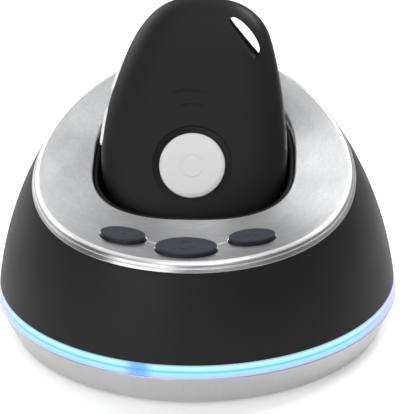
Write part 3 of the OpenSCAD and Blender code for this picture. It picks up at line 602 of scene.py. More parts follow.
def metal(name, colour, rough, grain=900, depth=0.006, spread=0.08):
    """Plain turned or stamped metal with fine scratches and smudges."""
    n = Nodes(name)
    scratch, smudge = n.noise(n.place((1, 8, 3)), grain), n.noise(n.place(), 90, 4.0)
    return n.done(
        Base_Color=n.between(scratch, *shades(colour, spread)),
        Roughness=n.between(smudge, rough - 0.06, rough + 0.08), Normal=n.bump(scratch, depth), Metallic=1,
    )


def brushed_top():
    """Aluminium brushed round the station's axis, with a painted highlight along its rim (a paler, less metallic
    crest over the fillet) and painted shade below it (a darker band on the rim's outer side).
    """
    n = Nodes("brushed_top")
    round_axis = n.around_axis()
    both = n.weighted(n.noise(round_axis, 2600, 2.0), n.noise(round_axis, 420), 0.6)
    inset = n.from_arc(ARC_CX, ARC_CZ, ARC_R, ring=True)
    # Painted highlight: over the rim's fillet the metal turns pale, smoother and mostly non-metallic, so it reads
    # bright under every lamp.
    crest_highlight = n.ramp(inset, ((0.08, 0), (0.16, 1), (0.58, 1), (0.72, 0)))
    # Painted shade: the rim's outer side below the fillet is darkened to a plain grey.
    band_shade = n.ramp(inset, ((0.04, 1), (0.12, 0)))
    colour = n.between(both, (0.73, 0.735, 0.75), (0.87, 0.875, 0.885))
    colour = n.mixed(band_shade, colour, (0.50, 0.50, 0.51))
    return n.done(
        Base_Color=n.mixed(crest_highlight, colour, (0.86, 0.86, 0.87)),
        Roughness=n.mixed(crest_highlight, n.between(both, 0.29, 0.34), (0.24, 0.24, 0.24)),
        Metallic=n.mixed(crest_highlight, (1.0, 1.0, 1.0), (0.3, 0.3, 0.3)),
        Normal=n.bump(both, 0.0008), Tangent=n.round_tangent(), Anisotropic=0.8, Anisotropic_Rotation=0.25,
    )


def brushed_ring():
    """Satin metal turned on a lathe, with the strokes running round the ring."""
    n = Nodes("brushed_ring")
    strokes = n.noise(n.place((0.15, 0.15, 1)), 6000, 3.0, 0.6)
    x, y, _ = n.axes()
    wrap = n.add("ShaderNodeCombineXYZ", X=n.maths("ARCTAN2", y, x)).outputs["Vector"]
    both = n.weighted(strokes, n.noise(wrap, 120, 5.0, 0.7), 0.45)
    return n.done(
        Base_Color=n.between(both, (0.47, 0.47, 0.475), (0.60, 0.60, 0.605)),
        Roughness=n.between(both, 0.32, 0.46), Normal=n.bump(both, 0.004), Tangent=n.round_tangent(),
        Metallic=1.0, Anisotropic=0.6, Anisotropic_Rotation=0.25,
    )


def light_ring():
    """Translucent light guide, lit from inside: cyan above a blue line, lavender below and at both sides."""
    n = Nodes("light_ring")
    x, y, z = n.axes()
    values = {"From_Min": FOOT_TOP_Z * MM, "From_Max": BODY_Z * MM, "Value": z}
    rise = n.add("ShaderNodeMapRange", **values).outputs["Result"]
    by_height = n.ramp(rise, (
        (0.0, (0.56, 0.60, 0.92)), (0.14, (0.50, 0.64, 0.98)), (0.32, (0.42, 0.86, 1.0)), (0.43, (0.22, 0.70, 1.0)),
        (0.50, (0.10, 0.46, 0.74)), (0.58, (0.36, 0.95, 1.0)), (0.85, (0.60, 1.0, 1.0)), (1.0, (0.25, 0.60, 0.75)),
    ))
    x, front = n.maths("MULTIPLY", x, 1 / MM), n.maths("LESS_THAN", y, 0.0)
    ends = n.ramp(n.maths("DIVIDE", n.maths("ABSOLUTE", x), 50), ((0.74, 0.0), (0.96, 1.0)))
    spot = n.maths("DIVIDE", n.maths("ABSOLUTE", n.maths("ADD", x, -DIM_SPOT_X)), 10)
    spot = n.maths("MULTIPLY", front, n.ramp(spot, ((0.12, 0.8), (0.36, 0.0))))
    glow = n.mixed(ends, n.mixed(spot, by_height, (0.10, 0.36, 0.92)), (0.55, 0.52, 0.92))
    mottle = n.noise(n.place(), 160)
    return n.done(
        Emission_Color=glow, Base_Color=n.between(mottle, (0.05, 0.08, 0.10), (0.08, 0.11, 0.13)),
        Roughness=n.between(mottle, 0.30, 0.42), Emission_Strength=0.92, Specular_IOR_Level=0.3,
    )


def circuit_board(name, colour):
    """Solder mask with faint tracks."""
    n = Nodes(name)
    tones = [(*[min(1, c * share) for c in colour], 1) for share in (1, 0.8, 1.9)]
    values = dict(zip(("Color1", "Color2", "Mortar"), tones), Scale=220, Mortar_Size=0.03, Vector=n.place())
    grid = n.add("ShaderNodeTexBrick", **values)
    return n.done(
        Base_Color=grid.outputs["Color"], Normal=n.bump(grid.outputs["Fac"], 0.02),
        Roughness=n.between(n.noise(n.place(), 300), 0.32, 0.45),
    )


def lamp_material():
    """Lamps: a bright diffused window."""
    n = Nodes("lamp")
    tint = n.between(n.noise(n.place(), 900, 2.0), (0.35, 0.8, 0.95), (0.6, 0.95, 1.0))
    return n.done(Base_Color=tint, Emission_Color=tint, Emission_Strength=1.0, Roughness=0.4)


# The material of each slot
MATERIALS = {
    "base_metal": brushed_ring(),
    "light_guide": light_ring(),
    "lamps": lamp_material(),
    "top_metal": brushed_top(),
    "button_blue": call_button_plastic(),
    "dome_black": plastic("soft_black", (0.010, 0.010, 0.0108), 0.5, 0.06, 3200, 0.008, 0.2),
}
# Name, colour, roughness, and where they differ from the usual: spread, grain, depth and specular level
for row in (
    ("cover_black", (0.03, 0.03, 0.032), 0.55, 0.1, 1400, 0.03),
    ("foot_rubber", (0.018, 0.018, 0.018), 0.75, 0.15, 1800, 0.03, 0.3),
    ("pocket_black", (0.007, 0.007, 0.0075), 0.6, 0.1, 2600, 0.01, 0.15),
    ("pad_rubber", (0.016, 0.016, 0.016), 0.7, 0.1, 1800, 0.02, 0.3),
    ("contact_plastic", (0.02, 0.02, 0.021), 0.4),
    ("silicone", (0.12, 0.12, 0.125), 0.6),
    ("chip_black", (0.015, 0.015, 0.016), 0.5),
    ("inlet_black", (0.014, 0.014, 0.014), 0.35),
    ("speaker_paper", (0.03, 0.03, 0.032), 0.8, 0.2, 900, 0.05, 0.2),
    ("pendant_black", (0.010, 0.010, 0.0108), 0.5, 0.06, 3400, 0.008, 0.2),
    ("seal_rubber", (0.012, 0.012, 0.012), 0.7),
    ("button_white", (0.74, 0.74, 0.75), 0.34, 0.012, 2600, 0.004, 0.5),
    ("key_white", (0.88, 0.88, 0.89), 0.34, 0.012, 2600, 0.004, 0.5),
    ("ceramic", (0.55, 0.47, 0.33), 0.5),
):
    MATERIALS[row[0]] = plastic(*row)
# Name, colour, roughness, and where they differ from the usual: grain and depth
for row in (
    ("weight_steel", (0.42, 0.42, 0.43), 0.42),
    ("contact_brass", (0.80, 0.58, 0.26), 0.25),
    ("trim_bright", (0.93, 0.93, 0.94), 0.35),
    ("switch_metal", (0.62, 0.62, 0.63), 0.3),
    ("shield_metal", (0.66, 0.66, 0.67), 0.32),
    ("microphone_metal", (0.62, 0.56, 0.38), 0.35),
    ("screw_steel", (0.55, 0.55, 0.56), 0.3),
    ("speaker_steel", (0.22, 0.22, 0.23), 0.4),
    ("battery_foil", (0.55, 0.57, 0.6), 0.38, 300, 0.03),
    ("flex_copper", (0.62, 0.36, 0.16), 0.3),
):
    MATERIALS[row[0]] = metal(*row)
for board, tone in (("lamp_board", (0.55, 0.55, 0.53)), ("board_green", (0.012, 0.085, 0.04))):
    MATERIALS[board] = circuit_board(board, tone)


# Foot and light ring

def make_base_ring():
    ring_in = FOOT_LOW_R - 2.4
    profile = (
        (FOOT_LOW_R - 0.5, FOOT_LOW_Z, 0.15), (FOOT_LOW_R, FOOT_LOW_Z + 0.4, 0.3), (FOOT_R, FOOT_TOP_Z, 0.18),
        (GUIDE_IN_R, FOOT_TOP_Z, 0.1), (GUIDE_IN_R, BOARD_SEAT_Z, 0.1), (LEDGE_IN_R, BOARD_SEAT_Z, 0.1),
        (LEDGE_IN_R, LEDGE_Z, 0.1), (GUIDE_IN_R, LEDGE_Z, 0.1), (ring_in, 1.2, 0.1), (ring_in, FOOT_LOW_Z, 0.1),
    )
    dress(solid("Foot_ring", lathe(profile, 256)), "station", "base_metal", "base_ring")


def make_light_guide():
    profile = (
        (GUIDE_IN_R, FOOT_TOP_Z + 0.02, 0.05), (FOOT_R - 0.1, FOOT_TOP_Z + 0.02, 0.12),
        (BODY_R + 0.12, STEP_Z, 0.08), (BODY_R - 0.2, STEP_Z, 0.04), (BODY_R - 0.2, STEP_Z + 0.18, 0.04),
        (BODY_R + 0.05, STEP_Z + 0.18, 0.1), (BODY_R, BODY_Z - 0.05, 0.12), (GUIDE_IN_R, BODY_Z - 0.05, 0.05),
    )
    dress(solid("Light_ring", lathe(profile, 256)), "station", "light_guide", "light_guide")


# Dome and metal top

def rim_point(turn, inset, depth):
    """The place, by angle round the station, on the dome moved in and on the surface depth below the dish."""
    low, high = np.full_like(turn, BODY_Z), np.full_like(turn, BODY_Z + 60)
    for _ in range(40):
        middle = (low + high) / 2
        radius = np.maximum(dome_radius(middle, inset), 1)
        under = middle < dish_height(radius * np.sin(turn), depth)
        low, high = np.where(under, middle, low), np.where(under, high, middle)
    radius = dome_radius(low, inset)
    return np.stack([radius * np.cos(turn), radius * np.sin(turn), low], -1)


def make_dome(count=288, rows=30):
    turn = angles(count)
    outer_top = rim_point(turn, 0, PLATE_T + 0.03)[:, 2]
    inner_top = rim_point(turn, BODY_WALL, PLATE_T + 0.03)[:, 2]

    def ring(radius, height):
        return np.stack([radius * np.cos(turn), radius * np.sin(turn), height], -1)

    def at(z, inset):
        return ring(dome_radius(z, inset), z)

    edge = 0.3
    lip = 0.22
    rings = []
    low_arc = np.linspace(0, math.pi / 2, 6)
    for a in low_arc:
        z = np.full(count, BODY_Z + edge * (1 - math.sin(a)))
        inset = edge * (1 - math.cos(a))
        rings.append(at(z, inset))
    rings.reverse()
    start = BODY_Z + edge
    for share in [SUPPORT / 20] + list(np.linspace(0, 1, rows + 1)[1:-1]):
        rings.append(at(start + (outer_top - lip - start) * share, 0))
    rings.append(at(outer_top - lip - SUPPORT, 0))
    for a in np.linspace(0, math.pi / 2, 5):
        rings.append(at(outer_top - lip * (1 - math.sin(a)), lip * (1 - math.cos(a))))
    rings.append(at(inner_top * 0.5 + outer_top * 0.5, BODY_WALL / 2))
    rings.append(at(inner_top - 0.02, BODY_WALL))
    for share in np.linspace(0, 1, 10)[1:]:
        rings.append(at(inner_top + (BODY_Z - inner_top) * share, BODY_WALL))
    dome = solid("Dome", skin(rings, wrap=True))
    carve(dome, rear_cutters())
    dress(dome, "station", "dome_black", "body_shell")


def grille_places():
    return [
        (GRILLE_PITCH * (i + j / 2), GRILLE_PITCH * j * math.sqrt(3) / 2)
        for i in range(-2, 3) for j in range(-2, 3) if abs(i + j) <= 2
    ]


def rear_cutters():
    """Grille holes with soft lips, and the seat of the power socket."""
    cutters = []
    frame_here = on_rear(SPEAKER_Z)
    for i, (x, y) in enumerate(grille_places()):
        lift = (x * x + y * y) / (2 * 80)
        profile = (
            (0, -5, 0), (GRILLE_R, -5, 0.05), (GRILLE_R, -lift - 0.25, 0.6), (GRILLE_R + 0.45, -lift + 0.35, 0.1),
            (GRILLE_R + 0.45, 1.2, 0.1), (0, 1.2, 0),
        )
        spot = frame_here @ Matrix.Translation((x, y, 0))
        cutters.append(solid(f"grille_cut_{i}", lathe(profile, 28, spot, closed=False, steps=3)))
    seat = (
        (0, -5, 0), (INLET_R + 0.1, -5, 0.05), (INLET_R + 0.1, -0.6, 0.05), (INLET_FLANGE_R + 0.1, -0.6, 0.05),
        (INLET_FLANGE_R + 0.1, -0.1, 0.3), (INLET_FLANGE_R + 0.5, 0.4, 0.1), (INLET_FLANGE_R + 0.5, 1.5, 0.1),
        (0, 1.5, 0),
    )
    cutters.append(solid("inlet_cut", lathe(seat, 96, on_rear(INLET_Z), closed=False, steps=3)))
    return cutters


def inside(points, loop):
    """Which of the points lie inside a closed loop."""
    x, y = points[:, 0][:, None], points[:, 1][:, None]
    x1, y1 = loop[:, 0][None], loop[:, 1][None]
    x2, y2 = np.roll(loop[:, 0], -1)[None], np.roll(loop[:, 1], -1)[None]
    rising = (y1 > y) != (y2 > y)
    with np.errstate(divide="ignore", invalid="ignore"):
        crossing = x < (x2 - x1) * (y - y1) / (y2 - y1) + x1
    return (rising & crossing).sum(1) % 2 == 1


def distance_to(points, loop):
    return np.sqrt(((points[:, None] - loop[None]) ** 2).sum(-1).min(1))


def button_hole(button, grow, depth):
    """One ring of a button's hole, in the model's frame."""
    _, x, y, a, b, turn = button
    return moved(ellipse_ring(a, b, grow, -depth), on_dish(x, y, turn))


def make_top_plate(count=288):
    """Dished metal top: a flat net of triangles laid on the dish, with filleted edges swept along its outlines."""
    turn = angles(count)
    quarter = np.linspace(0, math.pi / 2, 6)

    def rim_rings():
        places = [(RIM_EDGE + SUPPORT, 0)]
        places += [(RIM_EDGE * (1 - math.sin(a)), RIM_EDGE * (1 - math.cos(a))) for a in quarter]
        places += [(0, RIM_EDGE + SUPPORT), (0, 0.94), *RIM_GROOVE, (0, 1.34), (0, PLATE_T - 0.25)]
        places += [(LOW_EDGE * (1 - math.cos(a)), PLATE_T - LOW_EDGE * (1 - math.sin(a))) for a in quarter[::2]]
        places.append((RIM_EDGE + UNDER_REACH, PLATE_T))
        return [rim_point(turn, inset, depth) for inset, depth in places]

    def hole_rings(ring_at, grow, lip=0.18):
        rings = [ring_at(grow + lip + SUPPORT, 0)]
        rings += [ring_at(grow + lip * (1 - math.sin(a)), lip * (1 - math.cos(a))) for a in quarter]
        rings += [ring_at(grow, d) for d in (lip + SUPPORT, PLATE_T)]
        rings.append(ring_at(grow + lip + UNDER_REACH, PLATE_T))
        return rings

    outlines = [rim_rings(), hole_rings(pocket_at_depth, 0.1, 0.45)]
    outlines += [hole_rings(lambda g, d, b=b: button_hole(b, g, d), 0.15) for b in BUTTONS]
    loops = [rings[0][:, :2] for rings in outlines]
    xs, ys = np.meshgrid(np.arange(-46, 46.1, NET_STEP), np.arange(-46, 46.1, NET_STEP * 0.866))
    xs = xs + np.where(np.arange(xs.shape[0]) % 2, NET_STEP / 2, 0)[:, None]
    spots = np.stack([xs.ravel(), ys.ravel()], -1)
    keep = inside(spots, loops[0]) & (distance_to(spots, loops[0]) > NET_MARGINS[0])
    for loop in loops[1:]:
        keep &= ~inside(spots, loop) & (distance_to(spots, loop) > NET_MARGINS[1])
    spots = spots[keep]
    flat = np.vstack(loops + [spots])
    edges, base = [], 0
    for loop in loops:
        edges += [(base + i, base + (i + 1) % len(loop)) for i in range(len(loop))]
        base += len(loop)
    _, _, faces, origin, _, _ = delaunay_2d_cdt([Vector(p) for p in flat], edges, [], 0, 1e-7)
    back = [o[0] for o in origin]
    faces = np.array([[back[i] for i in face] for face in faces])
    middle = flat[faces].mean(1)
    keep = inside(middle, loops[0])
    for loop in loops[1:]:
        keep &= ~inside(middle, loop)
    faces = faces[keep]
    top = np.concatenate([flat, dish_height(flat[:, 1])[:, None]], -1)
    low = np.concatenate([flat, dish_height(flat[:, 1], PLATE_T)[:, None]], -1)
    verts, all_faces, base = [top], [tuple(f) for f in faces], 0
    for rings in outlines:
        size = len(rings[0])
        top[base:base + size] = rings[0]
        low[base:base + size] = rings[-1]
        base += size
    total = len(top)
    verts.append(low)
    all_faces += [tuple(total + i for i in reversed(f)) for f in faces]
    base, offset = 0, 2 * total
    for rings in outlines:
        size = len(rings[0])
        levels = [range(base, base + size)]
        for ring in rings[1:-1]:
            verts.append(ring)
            levels.append(range(offset, offset + size))
            offset += size
        levels.append(range(total + base, total + base + size))
        for here, there in zip(levels, levels[1:]):
            for k in range(size):
                after = (k + 1) % size
                all_faces.append((here[k], here[after], there[after], there[k]))
        base += size
    plate = solid("Top_plate", (np.vstack(verts), all_faces))
    mesh = plate.data
    normals = [v.normal.copy() for v in mesh.vertices]
    for i in range(total):
        slope = math.asin((top[i][1] - DISH_Y) / DISH_R)
        normals[i] = Vector((0, -math.sin(slope), math.cos(slope)))
    mesh.normals_split_custom_set_from_vertices(normals)
    dress(plate, "station", "top_metal", "top_plate")


def make_trim():
    """The thin bright line between the buttons: a half round bead along the arc, one piece on each side."""
    parts = []
    for side in (-1, 1):
        start = math.radians(-90 + side * 20.9)
        end = math.radians(-90 + side * 30.6)
        beads = []
        for a in np.linspace(start, end, 24):
            x = TRIM_R * math.cos(a)
            y = TRIM_CENTRE_Y + TRIM_R * math.sin(a)
            spot = on_dish(x, y)
            across = np.array((math.cos(a), math.sin(a), 0)) * TRIM_W * 0.62
            up = np.array(spot.to_3x3().col[2])
            centre = np.array(spot.translation)
            beads.append([
                centre + across * math.cos(t) + up * math.sin(t) * (0.10 if math.sin(t) > 0 else 0.4)
                for t in angles(16)
            ])
        parts.append(skin(beads, first=np.mean(beads[0], 0), last=np.mean(beads[-1], 0)))
    dress(solid("Button_trim", joined(*parts)), "station", "trim_bright", "button_trim")


# Pocket

def make_pocket(count=200):
    """The black pocket: walls drawn along the pendant's length, a soft lip, a floor with the contacts' window."""
    turn = angles(count)
    half = POCKET_WALL / 2

    def wall(grow, z):
        flat = pocket_outline(grow, count)
        return moved(np.concatenate([flat, np.full((count, 1), z)], -1), CRADLE)

    def window(z):
        x, y = WINDOW[0] * bent(np.cos(turn), 12), WINDOW[1] * bent(np.sin(turn), 12)
        return moved(np.stack([x, y, np.full(count, z)], -1), CRADLE)

    def level(grow, depth):
        return pocket_at_depth(grow, depth, count)

    flange = level(6, PLATE_T + 0.05)
    front_y = -20.7
    grow_by = np.full(count, 6.0)
    base, far = level(0, PLATE_T + 0.05), flange
    for _ in range(30):
        y = base[:, 1] + (far[:, 1] - base[:, 1]) * grow_by / 6
        x = base[:, 0] + (far[:, 0] - base[:, 0]) * grow_by / 6
        z = dish_height(y, PLATE_T)
        too_far = (y < front_y) | (np.hypot(x, y) > dome_radius(z, BODY_WALL + 0.6))
        grow_by = np.where(too_far, grow_by * 0.88, grow_by)
    grow_by = np.maximum(grow_by, 0.3)

    def flange_ring(depth):
        near, away = level(0, depth), level(6, depth)
        return near + (away - near) * (grow_by / 6)[:, None]

    rings = [wall(0, -FLOOR_GAP - FLOOR_T), wall(0, 2)]
    rings += [level(0, PLATE_T + FLANGE_T), flange_ring(PLATE_T + FLANGE_T), flange_ring(PLATE_T + 0.05)]
    rings += [level(0, PLATE_T + 0.05), level(0, half + 0.5 + SUPPORT)]
    arc = np.linspace(0, math.pi, 9)
    rings += [level(-half + half * math.cos(a), half * (1 - math.sin(a)) + 0.5) for a in arc]
    top = level(-POCKET_WALL, half + 0.6)
    rings.append(top)
    low = wall(-POCKET_WALL, 0.8 - FLOOR_GAP)
    rings += [top + (low - top) * share for share in np.linspace(0, 1, 8)[1:]]
    bend = 0.8
    rings += [
        wall(-POCKET_WALL - bend * (1 - math.cos(a)), -FLOOR_GAP + bend * (1 - math.sin(a)))
        for a in np.linspace(0, math.pi / 2, 5)[1:]
    ]
    edge = window(-FLOOR_GAP)
    last = rings[-1]
    rings += [last + (edge - last) * share for share in (0.3, 0.6, 0.85, 1.0)]
    rings += [window(-FLOOR_GAP - FLOOR_T)]
    dress(solid("Pocket", skin(rings, wrap=True)), "station", "pocket_black", "pocket_liner")


# Buttons

def make_call_button(button):
    """A call button: its rounded cap, the flange that holds it in, its plunger and a raised dot mark."""
    name, x, y, a, b, turn = button
    spot = on_dish(x, y, turn)
    edge = 0.26
    flange_low, flange_high = -PLATE_T - 0.9, -PLATE_T - 0.1
    rings = [ellipse_ring(a, b, 0.8, flange_low), ellipse_ring(a, b, 0.8, flange_high)]
    rings += [ellipse_ring(a, b, 0, flange_high), ellipse_ring(a, b, 0, BUTTON_PROUD - edge - SUPPORT)]
    rings += [
        ellipse_ring(a, b, -edge * (1 - math.cos(t)), BUTTON_PROUD - edge + edge * math.sin(t))
        for t in np.linspace(0, math.pi / 2 * 0.88, 6)
    ]
    outer = rings[-1]
    peak = BUTTON_PROUD - 0.02
    for share in (0.96, 0.9, 0.8, 0.65, 0.5, 0.35, 0.2, 0.08):
        ring = outer.copy()
        ring[:, :2] *= share
        ring[:, 2] = outer[:, 2] + (peak - outer[:, 2]) * (1 - share ** 3)
        rings.append(ring)
    cap = skin(rings, first=(0, 0, flange_low), last=(0, 0, peak))
    low, high = flange_low - 0.4, flange_low + 0.3
    plunger = lathe(((0, low, 0), (1.8, low, 0.1), (1.8, high, 0.05), (0, high, 0)), 48, closed=False)
    marks = []
    dots = {"left": (0,), "right": (-1.1, 1.1)}.get(name)
    if dots is None:
        low, high = peak - 0.1, peak + 0.09
        marks.append(lathe(((1.35, low, 0.02), (1.75, low, 0.02), (1.75, high, 0.12), (1.35, high, 0.12)), 64))
    else:
        for dot in dots:
            bead = ((0, peak - 0.15, 0), (0.48, peak - 0.15, 0.02), (0.48, peak + 0.12, 0.2), (0, peak + 0.14, 0))
            verts, faces = lathe(bead, 32, closed=False)
            marks.append((verts + np.array((dot, 0, 0)), faces))
    verts, faces = joined(cap, plunger, *marks)
    thing = solid(f"Call_button_{name}", (moved(verts, spot), faces))
    dress(thing, f"button_{name}", "button_blue", f"button_{name}")


# Pendant

def pebble_half(name, side, inset=0.0, past=0.0, seam=0.0):
    """Half of the pebble as a closed solid: side is -1 for the front and 1 for the rear.

    past carries the solid on through the seam's plane, and seam rounds its edge there.
    """
    rings = []
    if past:
        rings.append(pebble_ring(1, inset, -side * past))
    for a in np.linspace(0, math.pi / 2, 4) if seam else ():
        rings.append(pebble_ring(1, inset + seam * (1 - math.sin(a)), side * seam * (1 - math.cos(a))))
    for scale, y in pebble_rings(inset):
        if seam and y < 2 * seam:
            continue
        rings.append(pebble_ring(scale, inset, side * y))
    first_y, last_y = rings[0][0][1], side * (HALF_T - inset)
    shape = skin(rings, first=(0, first_y, 32), last=(0.5, last_y, 36))
    return solid(name, shape)


def y_post(name, x, z, profile, count=64, steps=4):
    """A turned solid along the pendant's thickness. The profile gives radius and depth."""
    verts, faces = lathe(profile, count, closed=False, steps=steps, upright=False)
    return solid(name, (verts + np.array((x, 0, z)), faces))


def slot_outline(grow, ledge):
    """The lanyard slot: half an ellipse closed by a straight side that lies the ledge apart from its middle."""
    arc, side = np.linspace(0, math.pi, 49), np.linspace(math.pi, 2 * math.pi, 33)[1:-1]
    along = SLOT_REACH[0] + grow
    v = along * np.concatenate([np.cos(arc), bent(np.cos(side), 5)])
    u = np.concatenate([(SLOT_REACH[1] + grow) * np.sin(arc), (ledge + grow) * bent(np.sin(side), 5)])
    cos, sin = math.cos(SLOT_TURN), math.sin(SLOT_TURN)
    return SLOT_MID[0] + u * cos - v * sin, SLOT_MID[1] + u * sin + v * cos


def slot_solid(name, rings):
    """A cutter through the pendant, tilted about the slot's front mouth, from triples of growth, ledge and depth."""
    loops = []
    cos, sin = math.cos(SLOT_TILT), math.sin(SLOT_TILT)
    for grow, ledge, depth in rings:
        x, z = slot_outline(grow, ledge)
        run, rise = depth - SLOT_MOUTH_Y, z - SLOT_MID[1]
        loops.append(np.stack([x, SLOT_MOUTH_Y + run * cos - rise * sin, SLOT_MID[1] + run * sin + rise * cos], -1))
    return solid(name, skin(loops, first=loops[0].mean(0), last=loops[-1].mean(0)))


def key_frame(key):
    """A side key's frame: X points into the pendant, Z along its edge."""
    _, x, z, turn = key
    return placed((x, KEY_Y, z), (math.cos(turn), 0, -math.sin(turn)), (0, 1, 0), (math.sin(turn), 0, math.cos(turn)))


def stadium(width, length, grow, count=16):
    """A bar with round ends, in Y and Z."""
    radius, straight = width / 2 + grow, (length - width) / 2
    points = []
    for end in (1, -1):
        for a in np.linspace(0, math.pi, count):
            points.append((end * radius * math.cos(a), end * (straight + radius * math.sin(a))))
    return np.array(points)


def bar(name, key, rings):
    """A solid across the pendant's edge from triples of width, growth and depth."""
    loops = []
    for width, grow, x in rings:
        flat = stadium(width, KEY_LEN, grow)
        loops.append(np.concatenate([np.full((len(flat), 1), x), flat], -1))
    verts, faces = skin(loops, first=np.mean(loops[0], 0), last=np.mean(loops[-1], 0))
    return solid(name, (moved(verts, key_frame(key)), faces))


def make_pendant():
    """Front and rear shells: hollow halves of the pebble, with every hole cut through them."""
    for side, name, node in ((-1, "Pendant_front", "pendant_front"), (1, "Pendant_rear", "pendant_rear")):
        shell = pebble_half(name, side, seam=0.14)
        cavity = pebble_half("cavity", side, PENDANT_WALL, past=0.6)
        keep = [slot_solid("slot_wall", ((1.5, 0.8, -PAST_FACE), (1.5, 0.8, PAST_FACE)))]
        for i, (x, z) in enumerate(SCREWS):
            post = ((0, -PAST_FACE, 0), (2.5, -PAST_FACE, 0.05), (2.5, PAST_FACE, 0.05), (0, PAST_FACE, 0))
            keep.append(y_post(f"post_{i}", x, z, post, 32, 2))
        carve(cavity, keep)
        cutters = [cavity, slot_solid("slot", SLOT_RINGS)]
        cutters += [bar(f"key_hole_{key[0]}", key, KEY_HOLE_RINGS) for key in KEYS]
        if side < 0:
            cutters.append(sos_cutter())
            cutters += [arc_cutter("arc_upper", 36.1, -0.5, 4.6, 0.8), arc_cutter("arc_lower", 33.0, -0.4, 2.8, 0.4)]
        else:
            for i, (x, z) in enumerate(SCREWS):
                well = (
                    (0, -1, 0), (0.75, -1, 0), (0.75, SCREW_HEAD_Y, 0.05), (1.6, SCREW_HEAD_Y, 0.05),
                    (1.6, PAST_FACE, 0.1), (0, PAST_FACE, 0),
                )
                cutters.append(y_post(f"well_{i}", x, z, well, 48, 3))
        for x in (-4, 4):
            hole = ((0, -1, 0), (1.32, -1, 0), (1.32, 3.0, 0.05), (0, 3.0, 0))
            verts, faces = lathe(hole, 48, closed=False)
            cutters.append(solid(f"contact_hole_{x}", (verts + np.array((x, 0, 0)), faces)))
        carve(shell, cutters)
        shell.data.transform(metric(CRADLE))
        dress(shell, "pendant", "pendant_black", node)


def metric(matrix):
    """A frame in millimetres as one in metres."""
    result = matrix.copy()
    result.translation *= MM
    return result


def sos_cutter():
    """The emergency button's hole with its shallow, softly flared surround."""
    profile = (
        (0, -1.5, 0), (SOS_R + 0.15, -1.5, 0), (SOS_R + 0.15, -7.1, 0.12), (9.15, -7.58, 0.5), (9.75, -8.6, 0.2),
        (0, -8.6, 0),
    )
    return y_post("sos_hole", 0, SOS_Z, profile, 128, 4)


def arc_cutter(name, z, shift, half, rise, width=0.34, depth=0.16):
    """A shallow groove along an arc on the pendant's face, with tapered ends."""
    beads = []
    for u in np.linspace(-1, 1, 36):
        x = shift + half * u
        height = z + rise * (1 - u * u)
        d = math.hypot(x, height - 36) / 20
        face = -HALF_T * (1 - min(d, 0.99) ** 3) ** (1 / 3) + 0.02
        grow = math.sqrt(max(0.03, 1 - abs(u) ** 6))
        beads.append([
            (x, face + depth * grow * math.sin(t), height + width * grow * math.cos(t)) for t in angles(12)
        ])
    return solid(name, skin(beads, first=np.mean(beads[0], 0), last=np.mean(beads[-1], 0)))


def make_sos_button():
    """White emergency button: a softly edged cap with a raised ring mark, and the flange behind it."""
    profile = (
        (0, -8.16, 0), (6.9, -8.1, 2.0), (SOS_R, -7.75, 0.35), (SOS_R, -5.8, 0.05), (SOS_R + 0.85, -5.8, 0.1),
        (SOS_R + 0.85, -5.1, 0.1), (0, -5.1, 0),
    )
    cap = lathe(profile, 160, closed=False, steps=8, upright=False)
    mark = lathe(((2.3, -8.0, 0.02), (2.85, -8.0, 0.02), (2.85, -8.24, 0.14), (2.3, -8.24, 0.14)), 96, upright=False)
    verts, faces = joined(cap, mark)
    thing = solid("Emergency_button", (moved(verts + np.array((0, 0, SOS_Z)), CRADLE), faces))
    dress(thing, "sos_button", "button_white", "sos_button")


def pebble_tree():
    """The pendant's outer surface for placing what follows it."""
    halves = [pebble_half(f"guide_{side}", side) for side in (-1, 1)]
    verts, faces = [], []
    for half in halves:
        base = len(verts)
        verts += [v.co / MM for v in half.data.vertices]
        faces += [tuple(base + i for i in p.vertices) for p in half.data.polygons]
        bpy.data.objects.remove(half)
    return BVHTree.FromPolygons(verts, faces)


def make_side_keys():
    """White side keys whose outer faces follow the pendant's edge, with rounded rims and a flange."""
    tree = pebble_tree()
    for key in KEYS:
        matrix = key_frame(key)
        inward = matrix.to_3x3().col[0]

        def edge_depth(y, z):
            start = matrix @ Vector((-6, y, z))
            hit = tree.ray_cast(start, inward)[0]
            return (hit - start).length - 6

        loops = []
        flat = stadium(KEY_W, KEY_LEN, 0)
        for share, grow, proud in (
            (0.02, 0, 0.5), (0.35, 0, 0.5), (0.65, 0, 0.5), (1, -0.62, 0.49), (1, -0.38, 0.44), (1, -0.2, 0.34),
            (1, -0.07, 0.18), (1, 0, -0.02),
        ):
            ring = stadium(KEY_W, KEY_LEN, grow) if share == 1 else flat * share
            loops.append([(edge_depth(y, z) - proud, y, z) for y, z in ring])
        wide = stadium(KEY_W, KEY_LEN, 0.5)
        inner = [edge_depth(y, z) + PENDANT_WALL + 0.2 for y, z in flat]
        loops.append([(d, y, z) for d, (y, z) in zip(inner, flat)])
        loops.append([(d, y, z) for d, (y, z) in zip(inner, wide)])
        loops.append([(3, y, z) for y, z in wide])
        loops = np.array(loops)
        verts, faces = skin(loops, first=loops[0].mean(0), last=loops[-1].mean(0))
        thing = solid(f"Side_key_{key[0]}", (moved(moved(verts, matrix), CRADLE), faces))
        dress(thing, f"call_key_{key[0]}", "key_white", f"call_key_{key[0]}")


def dress_nodes():
    """Every node that still shows gets the material of its slot."""
    for node in frame["nodes"].values():
        if node.hide_render:
            continue
        slot = node.material_slots[0].material.name.split(".")[0]
        node.material_slots[0].material = MATERIALS[slot]


def make_power_inlet():
    """Power socket: a round barrel with a flange, its mouth softly rounded."""
    profile = (
        (INLET_BORE_R, -10, 0.1), (INLET_BORE_R, 0.2, 0.35), (INLET_FLANGE_R, 0.2, 0.3), (INLET_FLANGE_R, -0.6, 0.05),
        (INLET_R, -0.6, 0.05), (INLET_R, -12, 0.1), (0.4, -12, 0.1), (0.4, -10, 0.05),
    )
    thing = solid("Power_inlet", lathe(profile, 96, on_rear(INLET_Z)))
    dress(thing, "station", "inlet_black", "power_inlet")


# Floor, light and camera

